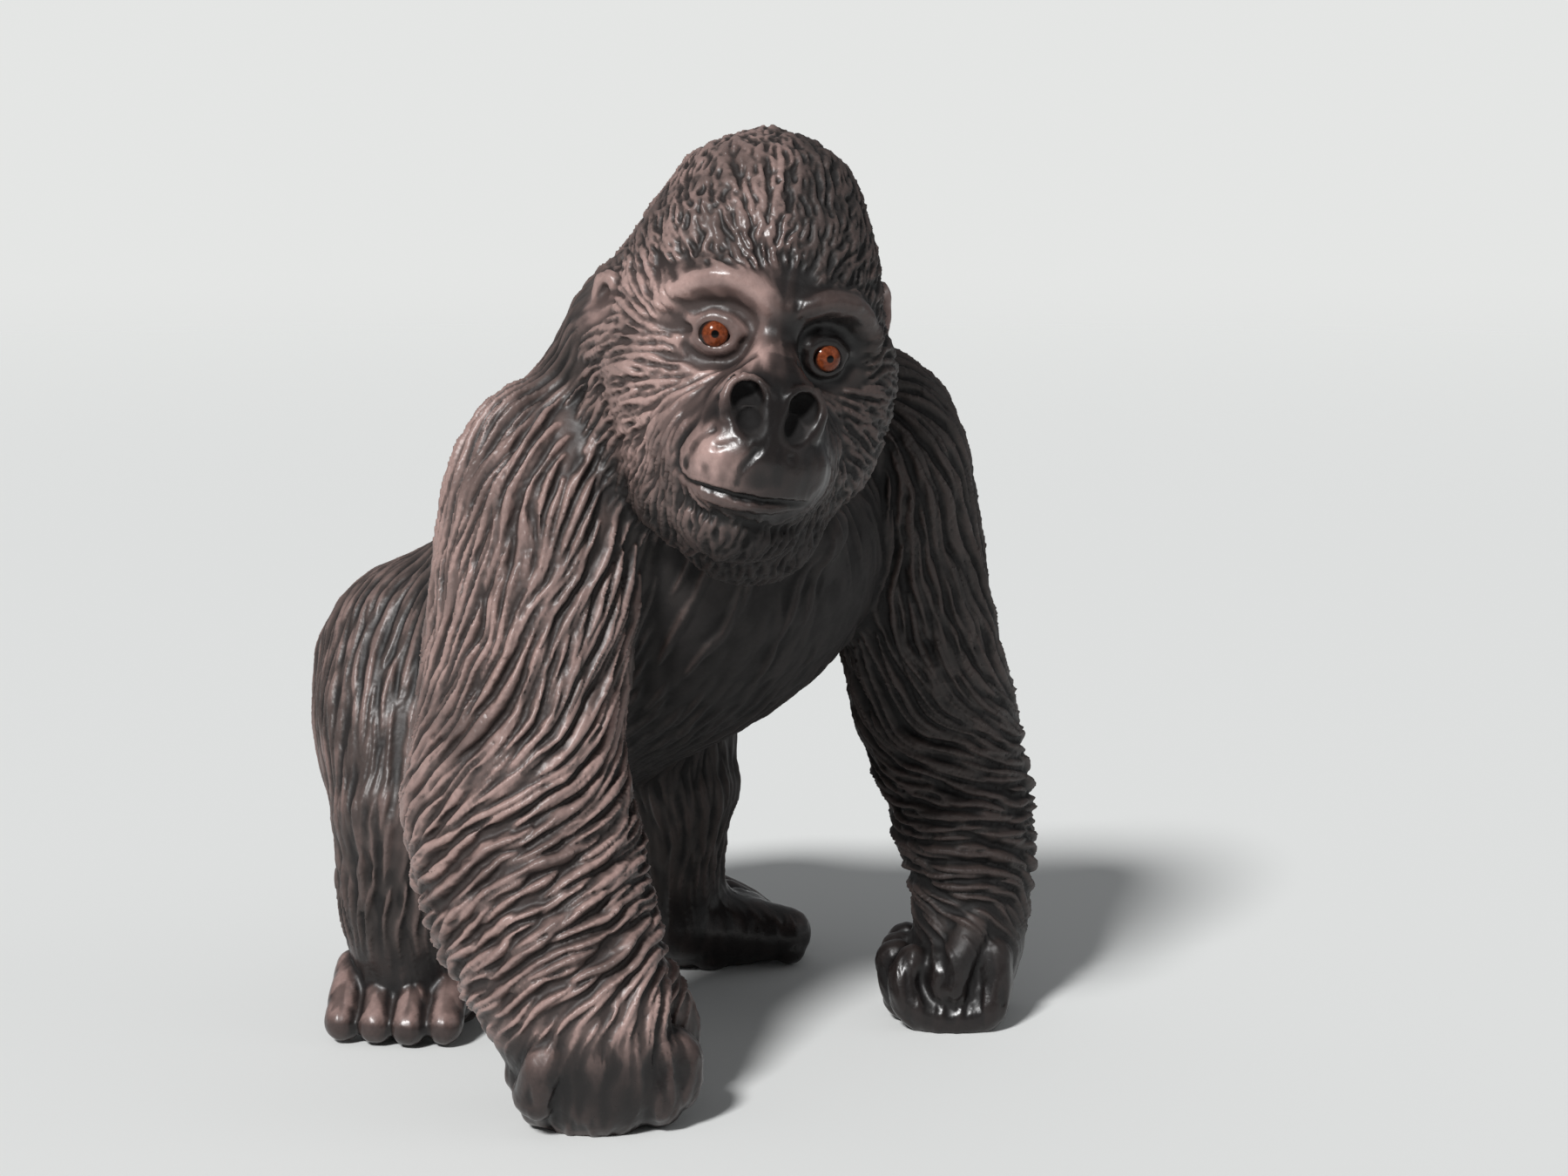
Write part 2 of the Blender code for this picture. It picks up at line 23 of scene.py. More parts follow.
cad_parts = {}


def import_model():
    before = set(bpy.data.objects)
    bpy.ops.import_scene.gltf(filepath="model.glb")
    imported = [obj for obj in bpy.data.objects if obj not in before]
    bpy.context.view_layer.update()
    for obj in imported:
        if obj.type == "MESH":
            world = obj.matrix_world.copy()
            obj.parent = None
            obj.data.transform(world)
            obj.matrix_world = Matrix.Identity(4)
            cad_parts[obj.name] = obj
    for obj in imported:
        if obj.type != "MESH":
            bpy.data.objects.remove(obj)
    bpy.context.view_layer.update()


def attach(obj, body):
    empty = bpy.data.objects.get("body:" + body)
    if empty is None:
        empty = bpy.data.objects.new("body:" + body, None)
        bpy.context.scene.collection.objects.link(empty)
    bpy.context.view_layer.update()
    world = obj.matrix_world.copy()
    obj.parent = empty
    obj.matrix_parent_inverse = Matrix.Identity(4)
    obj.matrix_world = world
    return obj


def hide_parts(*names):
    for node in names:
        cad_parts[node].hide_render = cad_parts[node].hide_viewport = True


log = logging.getLogger("gorilla")

MM = 0.001
NODE = "gorilla"
BASE_SHIFT = (-1.104, -1.763, 0.0)

# Sizes of the cells in which the surface is cast, in millimetres.
BODY_VOXEL = 0.55
FEATURE_VOXEL = 0.3
COAT_VOXEL = 0.17

PIECES = (
    "head",
    "right_upper_arm",
    "right_forearm",
    "left_upper_arm",
    "left_forearm",
    "trunk",
    "neck",
    "right_thigh",
    "left_thigh",
    "right_shin",
    "left_shin",
)

Station = tuple[float, ...]
Point = tuple[float, float, float]
Pairs = tuple[tuple[float, float], ...]
Groove = tuple[tuple[Point, ...], float, float]
Settings = dict[str, object]
Inputs = dict[object, object]
Colour = tuple[float, float, float, float]


class Side(Enum):
    """Which side of the figure a limb is on, as the sign of its x."""

    RIGHT = -1
    LEFT = 1


def unit_rows(vectors: np.ndarray, least: float = 0.0) -> np.ndarray:
    """Returns the rows at length 1; a small least keeps a zero row from dividing by 0."""
    return vectors / (np.linalg.norm(vectors, axis=1)[:, None] + least)


def flattened(vectors: np.ndarray, normals: np.ndarray) -> np.ndarray:
    """Returns the vectors laid flat on a surface with these normals."""
    return vectors - normals * (vectors * normals).sum(1)[:, None]


def soft(values: np.ndarray, low: float, high: float) -> np.ndarray:
    """Returns 0 up to low, 1 from high on, and a straight rise between them."""
    return ((values - low) / (high - low)).clip(0, 1)


def in_frame(points: np.ndarray, frame: Matrix) -> np.ndarray:
    """Returns the points in a frame's own axes."""
    inverse = np.array(frame.inverted())
    return points @ inverse[:3, :3].T + inverse[:3, 3]


def read(items: bpy.types.bpy_prop_collection, key: str, width: int, kind: type = float) -> np.ndarray:
    """Returns a property of a mesh's vertices, edges or corners, width numbers to a row."""
    values = np.empty(len(items) * width, kind)
    items.foreach_get(key, values)
    return values.reshape(-1, width)


def linked(name: str, data: bpy.types.ID) -> bpy.types.Object:
    """Makes an object of the data and puts it in the scene."""
    made = bpy.data.objects.new(name, data)
    bpy.context.scene.collection.objects.link(made)
    return made


def spline(rows: Sequence[Station], steps: int) -> np.ndarray:
    """Samples a smooth curve through rows of numbers.

    Args:
        rows: the numbers that the curve passes through.
        steps: samples between one row and the next.

    Returns:
        One row for each sample.
    """
    knots = np.array(rows, float)
    ends = np.vstack([2 * knots[0] - knots[1], knots, 2 * knots[-1] - knots[-2]])
    out = []
    for before, start, end, after in zip(ends, ends[1:], ends[2:], ends[3:]):
        for step in range(steps):
            t = step / steps
            out.append(
                0.5 * (2 * start + (end - before) * t)
                + 0.5 * (2 * before - 5 * start + 4 * end - after) * t**2
                + 0.5 * (3 * start - before - 3 * end + after) * t**3
            )
    out.append(knots[-1])
    return np.array(out)


def loft(
    stations: Sequence[Station],
    across: Point = (1, 0, 0),
    sides: int = 32,
    steps: int = 8,
    squareness: float = 0.0,
    cap_rings: int = 5,
) -> bmesh.types.BMesh:
    """Makes a closed mass with oval sections and domed ends.

    Args:
        stations: x, y, z, half width and half depth of each section.
        across: the direction that the width runs along, as near as the path allows.
        sides: corners of a section.
        steps: sections between two stations.
        squareness: 0 for an oval section, towards 1 for one that fills its corners.
        cap_rings: sections in each dome.

    Returns:
        The mass, with its faces pointing out.
    """
    samples = spline(stations, steps)
    centres, halves = samples[:, :3], samples[:, 3:]
    tangents = unit_rows(np.gradient(centres, axis=0))
    rings = []
    for angle in np.linspace(math.pi / 2, 0, cap_rings, endpoint=False)[1:]:
        dome = halves[0].min() * math.sin(angle)
        rings.append((centres[0] - tangents[0] * dome, tangents[0], halves[0] * math.cos(angle)))
    rings += list(zip(centres, tangents, halves))
    for angle in np.linspace(0, math.pi / 2, cap_rings, endpoint=False)[1:]:
        dome = halves[-1].min() * math.sin(angle)
        rings.append((centres[-1] + tangents[-1] * dome, tangents[-1], halves[-1] * math.cos(angle)))
    mass = bmesh.new()
    loops = []
    for centre, tangent, (half_width, half_depth) in rings:
        depth_axis = np.cross(tangent, across)
        depth_axis /= np.linalg.norm(depth_axis)
        width_axis = np.cross(depth_axis, tangent)
        loop = []
        for turn in np.linspace(0, 2 * math.pi, sides, endpoint=False):
            wide = math.copysign(abs(math.cos(turn)) ** (1 - squareness), math.cos(turn))
            deep = math.copysign(abs(math.sin(turn)) ** (1 - squareness), math.sin(turn))
            spot = centre + width_axis * half_width * wide + depth_axis * half_depth * deep
            loop.append(mass.verts.new(spot))
        loops.append(loop)
    for lower, upper in zip(loops, loops[1:]):
        for i in range(sides):
            j = (i + 1) % sides
            mass.faces.new((lower[i], lower[j], upper[j], upper[i]))
    mass.faces.new(loops[0])
    mass.faces.new(loops[-1])
    bmesh.ops.recalc_face_normals(mass, faces=mass.faces)
    return mass


def rod(points: Sequence[Point], radius: float, across: Point = (1, 0, 0)) -> bmesh.types.BMesh:
    """Makes a round mass of one radius through the points."""
    return loft([(*point, radius, radius) for point in points], across=across, sides=18, steps=6)


def ball(centre: Point, radii: Point) -> bmesh.types.BMesh:
    """Makes an ellipsoid."""
    mass = bmesh.new()
    place = Matrix.Translation(centre) @ Matrix.Diagonal((*radii, 1))
    bmesh.ops.create_icosphere(mass, subdivisions=4, radius=1, matrix=place)
    return mass


def ring(
    centre: Point,
    radii: tuple[float, float],
    thickness: float,
    facing: Point,
    turns: tuple[float, float] = (0, 360),
    roll: float = 0.0,
) -> bmesh.types.BMesh:
    """Makes a rounded oval rim, or an arc of one.

    Args:
        centre: the middle of the hole.
        radii: half width and half height of the rim's middle line.
        thickness: radius of the rim's own section.
        facing: the direction in which the hole looks.
        turns: the first and last angle of the arc, in degrees.
        roll: how far the rim leans about its facing, in degrees.

    Returns:
        The rim, closed all round or domed at its ends.
    """
    turn = Vector(facing).to_track_quat("Z", "Y").to_matrix() @ Matrix.Rotation(math.radians(roll), 3, "Z")
    start, end = (math.radians(angle) for angle in turns)
    path = []
    for angle in np.linspace(start, end, 25):
        spot = Vector(centre) + turn @ Vector((radii[0] * math.cos(angle), radii[1] * math.sin(angle), 0))
        path.append((*spot, thickness, thickness))
    return loft(path, across=tuple(facing), sides=14, steps=2)


def moved(masses: list[bmesh.types.BMesh], matrix: Matrix) -> list[bmesh.types.BMesh]:
    """Carries the masses by the matrix and returns them."""
    for mass in masses:
        mass.transform(matrix)
    return masses


def joined(masses: Sequence[bmesh.types.BMesh]) -> bpy.types.Mesh:
    """Puts closed masses that still overlap into one mesh."""
    whole = bpy.data.meshes.new("masses")
    target = bmesh.new()
    for mass in masses:
        scratch = bpy.data.meshes.new("mass")
        mass.to_mesh(scratch)
        target.from_mesh(scratch)
        bpy.data.meshes.remove(scratch)
        mass.free()
    target.to_mesh(whole)
    target.free()
    return whole


def applied(
    mesh: bpy.types.Mesh,
    add_modifiers: Callable[[bpy.types.ObjectModifiers], None],
) -> bpy.types.Mesh:
    """Returns a new mesh: this one with the modifiers that add_modifiers gives it applied."""
    carrier = linked("carrier", mesh)
    add_modifiers(carrier.modifiers)
    graph = bpy.context.evaluated_depsgraph_get()
    result = bpy.data.meshes.new_from_object(carrier.evaluated_get(graph))
    bpy.data.objects.remove(carrier)
    return result


@dataclass
class Limb:
    """A mass that hair lies along.

    Attributes:
        stations: x, y, z, half width and half depth along it.
        winding: rows of a share of its length and the angle at which hair turns away from
            its length there, in degrees.
        across: the direction that its width runs along.
        squareness: how far its sections fill their corners.
    """

    stations: tuple[Station, ...]
    winding: Pairs = ((0.0, 0.0),)
    across: Point = (1.0, 0.0, 0.0)
    squareness: float = 0.0

    def mass(self) -> bmesh.types.BMesh:
        """Makes its loft."""
        return loft(self.stations, across=self.across, squareness=self.squareness)

    def measure(self, points: np.ndarray) -> dict[str, np.ndarray]:
        """Finds where points lie on the limb.

        Args:
            points: positions, one to a row.

        Returns:
            How near each is as a share of the limb's radius, the limb's direction there,
            and the angle at which hair turns away from it there, in radians.
        """
        samples = spline(self.stations, 5)
        lengths = np.concatenate([[0], np.linalg.norm(np.diff(samples[:, :3], axis=0), axis=1).cumsum()])
        nearest = np.zeros(len(points), int)
        best = np.full(len(points), np.inf)
        for index, sample in enumerate(samples):
            distance = np.linalg.norm(points - sample[:3], axis=1) / sample[3:].mean()
            closer = distance < best
            nearest[closer] = index
            best[closer] = distance[closer]
        tangents = unit_rows(np.gradient(samples[:, :3], axis=0))
        axis = samples[-1, :3] - samples[0, :3]
        axis /= np.linalg.norm(axis)
        out = points - samples[nearest, :3]
        share = (out @ axis + lengths[nearest]) / lengths[-1]
        places, angles = zip(*self.winding)
        return {
            "near": best,
            "heading": tangents[nearest],
            "winding": np.radians(np.interp(share, places, angles)),
        }


@dataclass
class Trunk:
    """Rump, belly and chest along one spine, the neck out of the shoulders, and the nape."""

    spine: Limb = field(
        default_factory=lambda: Limb(
            (
                (0.0, 33.3, 25.0, 0.5, 0.5),
                (0.0, 32.2, 25.4, 6.5, 5.6),
                (0.0, 29.2, 26.5, 12.4, 9.8),
                (0.0, 23.5, 28.8, 16.2, 12.6),
                (0.0, 14.0, 33.6, 16.5, 13.4),
                (0.0, 4.0, 39.4, 17.0, 14.2),
                (-0.3, -4.0, 42.8, 16.0, 13.0),
                (-0.5, -9.5, 44.2, 13.2, 10.8),
                (-0.5, -13.5, 45.0, 9.0, 7.4),
                (-0.5, -15.8, 45.4, 3.6, 3.0),
            )
        )
    )
    neck: Limb = field(
        default_factory=lambda: Limb(
            (
                (0.0, 2.0, 47.5, 15.0, 10.0),
                (-4.4, -5.0, 52.8, 14.8, 10.8),
                (-7.0, -10.0, 58.4, 10.8, 10.4),
            )
        )
    )
    nape: Limb = field(
        default_factory=lambda: Limb(
            (
                (-5.4, -7.5, 65.0, 6.0, 5.5),
                (-3.2, -2.0, 59.5, 8.5, 7.0),
                (-1.0, 7.5, 47.0, 10.0, 6.5),
            )
        )
    )

    def masses(self) -> list[bmesh.types.BMesh]:
        """Makes the trunk's lofts."""
        return [self.spine.mass(), self.neck.mass(), self.nape.mass()]


HAND_TURN = 40.0


def hand_across(side: Side) -> Vector:
    """Returns the direction across a hand, towards +X."""
    turn = math.radians(HAND_TURN)
    return Vector((math.cos(turn), side.value * math.sin(turn), 0))


@dataclass
class Arm:
    """An upper arm, a flat forearm and the fist it rests on."""

    side: Side
    upper: tuple[Station, ...]
    fore: tuple[Station, ...]
    thumb: tuple[Station, ...]
    outer_finger: tuple[Station, ...]
    palm: tuple[Station, ...]
    knuckles: Point
    fingers: tuple[float, ...]
    upper_winding: Pairs = ((0.0, 4.0), (0.55, 8.0), (0.8, 24.0), (1.05, 50.0))
    fore_winding: Pairs = ((-0.15, 58.0), (0.1, 68.0), (0.6, 72.0), (0.8, 56.0), (0.95, 25.0))
    finger_radius: float = 1.8
    finger_pitch: float = 3.1
    curl: Pairs = ((-1.6, 3.0), (-1.8, -0.6), (1.6, -1.4), (4.8, -1.0), (5.6, 2.2))

    def wound(self, rows: Pairs) -> Pairs:
        """Returns the rows of a winding, turned the other way on a right arm."""
        return tuple((share, self.side.value * angle) for share, angle in rows)

    def upper_limb(self) -> Limb:
        """Returns the upper arm."""
        return Limb(self.upper, winding=self.wound(self.upper_winding))

    def fore_limb(self) -> Limb:
        """Returns the forearm."""
        across = tuple(hand_across(self.side))
        return Limb(self.fore, winding=self.wound(self.fore_winding), across=across)

    def masses(self) -> list[bmesh.types.BMesh]:
        """Makes the lofts of the upper arm and the forearm."""
        return [self.upper_limb().mass(), self.fore_limb().mass()]

    def fist(self) -> list[bmesh.types.BMesh]:
        """Makes the thumb and the fingers rolled back under the palm."""
        across = hand_across(self.side)
        back = Vector((-across.y, across.x, 0))
        masses = [loft(self.thumb, sides=18), loft(self.outer_finger, sides=18)]
        masses.append(loft(self.palm, across=(0, 0, 1), squareness=0.3))
        for place in self.fingers:
            base = Vector(self.knuckles) + across * place * self.finger_pitch
            path = [base + back * reach + Vector((0, 0, rise)) for reach, rise in self.curl]
            masses.append(rod(path, self.finger_radius, across=tuple(across)))
        return masses


@dataclass
class Leg:
    """A thigh, a shin and the flat foot, with toes and a great toe that stands apart."""

    side: Side
    thigh: tuple[Station, ...]
    shin: tuple[Station, ...]
    sole: tuple[Station, ...]
    toes: Point
    splay: float
    instep: tuple[Station, ...]
    toe_places: tuple[float, ...] = (-0.9, 0.1, 1.1, 2.1)
    toe_radius: float = 1.6
    toe_pitch: float = 3.2
    toe_reach: float = 5.2
    great_toe_radius: float = 2.1
    great_toe_reach: float = 7.0
    great_toe_angle: float = 38.0

    def masses(self) -> list[bmesh.types.BMesh]:
        """Makes the lofts of the thigh, the shin and the sole."""
        angle = math.radians(self.splay)
        sideways = (math.cos(angle), self.side.value * math.sin(angle), 0)
        sole = loft(self.sole, across=sideways)
        return [loft(self.thigh), loft(self.shin), sole, loft(self.instep, across=(0, 0, 1))]

    def foot(self) -> list[bmesh.types.BMesh]:
        """Makes the toes."""
        angle = math.radians(self.splay)
        sign = self.side.value
        forward = Vector((sign * math.sin(angle), -math.cos(angle), 0))
        outward = Vector((sign * math.cos(angle), math.sin(angle), 0))
        masses = []
        for place in self.toe_places:
            base = Vector(self.toes) + outward * (place - 0.3) * self.toe_pitch * 0.9
            base -= forward * abs(place - 0.2) * 0.5
            path = [base - forward * 1.0 + Vector((0, 0, 3.2))]
            path.append(base + forward * self.toe_reach * 0.35 + Vector((0, 0, 1.6)))
            path.append(base + forward * self.toe_reach * 0.75 + Vector((0, 0, -0.2)))
            masses.append(rod(path, self.toe_radius, across=tuple(outward)))
        inward = Matrix.Rotation(sign * math.radians(self.great_toe_angle), 3, "Z") @ forward
        base = Vector(self.toes) - outward * 3.4 - forward * 4.0
        reach = inward * self.great_toe_reach
        path = [base, base + reach * 0.6, base + reach * 0.85]
        masses.append(rod(path, self.great_toe_radius, across=tuple(outward)))
        return masses


@dataclass
class Head:
    """The tall crested head with its muzzle, brow, eyes, nose and ears.

    Attributes:
        centre: the middle of the line of the eyes.
        turn: how far it looks to its right, in degrees.
        lean: how far the skull leans down on its left.
        face_lean: how much further the face leans.
        skull: its stations, and so on for each mass, in the head's own axes.
        eye: the place of the left eye; the right one mirrors it, as nostril and ear do.
        mouth: the line between the lips.
        wrinkles: path, radius and depth of each groove that is pressed into the face.
    """

    centre: Point = (-7.3, -17.0, 61.0)
    turn: float = 28.0
    lean: float = 3.0
    face_lean: float = 10.0
    skull: tuple[Station, ...] = (
        (0.0, -3.2, -13.2, 5.6, 5.2),
        (0.0, -2.2, -10.8, 8.8, 7.4),
        (0.0, -0.6, -7.4, 10.6, 8.6),
        (0.0, 0.6, -3.0, 11.4, 8.9),
        (0.0, 1.4, 0.6, 10.6, 8.9),
        (0.3, 1.4, 4.5, 9.7, 10.0),
        (0.8, 2.3, 7.6, 8.7, 9.5),
        (1.2, 3.0, 10.3, 7.4, 8.2),
        (1.4, 3.6, 12.6, 6.1, 6.7),
        (1.5, 3.9, 14.2, 4.3, 4.8),
        (1.5, 4.0, 15.2, 2.3, 2.6),
        (1.5, 4.0, 15.5, 0.6, 0.6),
    )
    muzzle: tuple[Station, ...] = (
        (0.0, -4.0, -7.2, 7.8, 6.6),
        (0.0, -8.5, -7.9, 7.0, 5.8),
        (0.0, -11.2, -8.4, 5.8, 4.5),
    )
    chin: tuple[Station, ...] = (
        (0.0, -2.0, -11.2, 7.5, 5.3),
        (0.0, -6.5, -12.0, 6.6, 4.8),
        (0.0, -9.0, -12.6, 4.8, 3.4),
    )
    nose_bridge: tuple[Station, ...] = (
        (0.0, -7.4, 3.0, 2.0, 1.4),
        (0.0, -8.9, 0.2, 1.9, 1.5),
        (0.0, -10.4, -1.8, 2.6, 1.8),
        (0.0, -11.9, -3.8, 4.0, 2.3),
        (0.0, -12.6, -5.6, 4.2, 2.3),
    )
    brow: tuple[Station, ...] = (
        (-8.2, -5.4, 0.9, 0.6, 0.8),
        (-7.2, -7.0, 2.7, 0.9, 1.0),
        (-5.4, -8.6, 4.1, 1.0, 1.15),
        (-3.4, -9.3, 4.2, 1.05, 1.2),
        (-1.6, -9.5, 3.3, 1.0, 1.1),
        (0.0, -9.3, 2.5, 0.8, 0.9),
        (1.6, -9.5, 3.3, 1.0, 1.1),
        (3.4, -9.3, 4.2, 1.05, 1.2),
        (5.4, -8.6, 4.1, 1.0, 1.15),
        (7.2, -7.0, 2.7, 0.9, 1.0),
        (8.2, -5.4, 0.9, 0.6, 0.8),
    )
    eye: Point = (4.2, -8.9, 0.0)
    eye_radius: float = 1.35
    nostril: Point = (1.85, -13.9, -4.7)
    nostril_opening: tuple[float, float] = (1.7, 2.3)
    nostril_rim: float = 0.42
    ear: Point = (10.6, 2.3, 2.2)
    mouth: tuple[Point, ...] = (
        (-5.2, -11.2, -10.1),
        (-3.7, -13.4, -10.7),
        (-1.6, -14.6, -10.9),
        (0.6, -14.9, -10.85),
        (2.5, -14.3, -10.5),
        (4.2, -12.8, -10.1),
        (5.4, -11.0, -9.5),
    )
    wrinkles: tuple[Groove, ...] = (
        (
            ((-5.6, -8.9, 5.9), (-3.0, -10.0, 6.2), (0.0, -10.2, 5.2), (3.0, -10.0, 6.2), (5.6, -8.9, 5.9)),
            0.55,
            0.3,
        ),
        (
            ((-4.2, -9.6, 7.2), (-2.0, -10.4, 7.2), (0.0, -10.6, 6.6), (2.0, -10.4, 7.2), (4.2, -9.6, 7.2)),
            0.5,
            0.22,
        ),
        (((-1.0, -10.4, 4.6), (-0.8, -10.6, 3.0), (-0.9, -10.5, 1.6)), 0.5, 0.35),
        (((1.0, -10.4, 4.6), (0.8, -10.6, 3.0), (0.9, -10.5, 1.6)), 0.5, 0.35),
        (
            (
                (-3.5, -12.2, -2.6),
                (-4.7, -12.6, -4.4),
                (-5.6, -12.2, -6.4),
                (-6.2, -11.4, -8.6),
                (-5.9, -11.0, -10.2),
            ),
            0.75,
            0.55,
        ),
        (
            (
                (3.5, -12.2, -2.6),
                (4.7, -12.6, -4.4),
                (5.6, -12.2, -6.4),
                (6.2, -11.4, -8.4),
                (6.0, -11.0, -9.6),
            ),
            0.75,
            0.55,
        ),
        (((-1.9, -11.2, -0.6), (-3.2, -11.0, -1.9), (-5.2, -10.2, -2.6), (-6.8, -9.2, -2.2)), 0.6, 0.32),
        (((1.9, -11.2, -0.6), (3.2, -11.0, -1.9), (5.2, -10.2, -2.6), (6.8, -9.2, -2.2)), 0.6, 0.32),
        (((-1.7, -10.8, 0.6), (-2.4, -10.6, -1.0), (-4.0, -10.4, -2.0)), 0.4, 0.22),
        (((1.7, -10.8, 0.6), (2.4, -10.6, -1.0), (4.0, -10.4, -2.0)), 0.4, 0.22),
        (((-2.4, -11.4, -2.3), (0.0, -12.2, -1.9), (2.4, -11.4, -2.3)), 0.5, 0.25),
        (((-4.6, -11.0, -12.3), (0.0, -12.8, -13.0), (4.6, -11.0, -12.6)), 0.9, 0.3),
        (((-3.9, -13.6, -6.6), (-4.8, -13.0, -8.0), (-5.0, -12.4, -9.4)), 0.5, 0.3),
        (((-2.4, -14.6, -7.2), (-3.6, -14.2, -7.9), (-3.8, -13.8, -9.4)), 0.5, 0.3),
        (((-0.9, -15.2, -7.4), (-1.6, -15.2, -8.6), (-1.8, -14.8, -9.9)), 0.5, 0.28),
        (((1.6, -15.0, -7.4), (2.5, -14.6, -8.6), (2.8, -14.2, -9.6)), 0.5, 0.28),
    )

    def skull_frame(self) -> Matrix:
        """Returns the matrix from the head's own axes to the figure's."""
        turn = Matrix.Rotation(-math.radians(self.turn), 4, "Z")
        return Matrix.Translation(self.centre) @ turn @ Matrix.Rotation(math.radians(self.lean), 4, "Y")

    def face_frame(self) -> Matrix:
        """Returns the head's axes with the further lean of the face."""
        return self.skull_frame() @ Matrix.Rotation(math.radians(self.face_lean), 4, "Y")

    def masses(self) -> list[bmesh.types.BMesh]:
        """Makes the skull, muzzle, nose bridge and brow."""
        face = [loft(self.muzzle), loft(self.chin), loft(self.nose_bridge), loft(self.brow, across=(0, 0, 1))]
        return moved([loft(self.skull, squareness=0.12)], self.skull_frame()) + moved(face, self.face_frame())

    def features(self) -> list[bmesh.types.BMesh]:
        """Makes the rims of the nostrils, the eyelids and their folds, the lips and the ears.

        Returns:
            The masses, in the figure's axes.
        """
        face = []
        ears = []
        for sign in (-1, 1):
            centre = (sign * self.nostril[0], self.nostril[1], self.nostril[2])
            facing = (sign * 0.22, -1, 0.12)
            face.append(ring(centre, self.nostril_opening, self.nostril_rim, facing, roll=-sign * 18))
            face += self.lids(sign)
            ear = (sign * self.ear[0], self.ear[1], self.ear[2])
            ears.append(ring(ear, (1.05, 1.75), 0.55, (sign, -0.7, 0)))
        face.append(ball((-3.1, -12.6, -8.3), (1.9, 2.2, 1.5)))
        for rise, thickness in ((0.48, 0.34), (-0.52, 0.36)):
            lip = [(x * 0.94, y + 0.55, z + rise, thickness, 0.32) for x, y, z in self.mouth]
            face.append(loft(lip, across=(0, 0, 1), sides=14))
        return moved(face, self.face_frame()) + moved(ears, self.skull_frame())

    def lids(self, sign: int) -> list[bmesh.types.BMesh]:
        """Makes the lids of one eye and the folds over and under it.

        Args:
            sign: -1 for the right eye and 1 for the left.

        Returns:
            The lids and folds, in the face's axes.
        """
        made = []
        # Half width, half height, thickness, depth, first and last angle, and rise of each.
        rows = (
            (1.47, 1.08, 0.34, 0.8, (0, 360), -0.05),
            (1.7, 1.1, 0.3, 0.6, (10, 170), 0.14),
            (2.0, 1.5, 0.26, 1.15, (190, 350), -0.1),
            (2.3, 1.8, 0.34, 1.0, (15, 165), 0.1),
            (3.0, 2.5, 0.3, 1.25, (200, 340), -0.1),
            (3.7, 3.3, 0.26, 1.6, (205, 330), -0.1),
        )
        for half_width, half_height, thickness, depth, turns, rise in rows:
            centre = (sign * self.eye[0], self.eye[1] + depth, self.eye[2] + rise)
            if sign > 0:
                turns = (180 - turns[1], 180 - turns[0])
            made.append(ring(centre, (half_width, half_height), thickness, (sign * 0.42, -1, 0.0), turns))
        return made


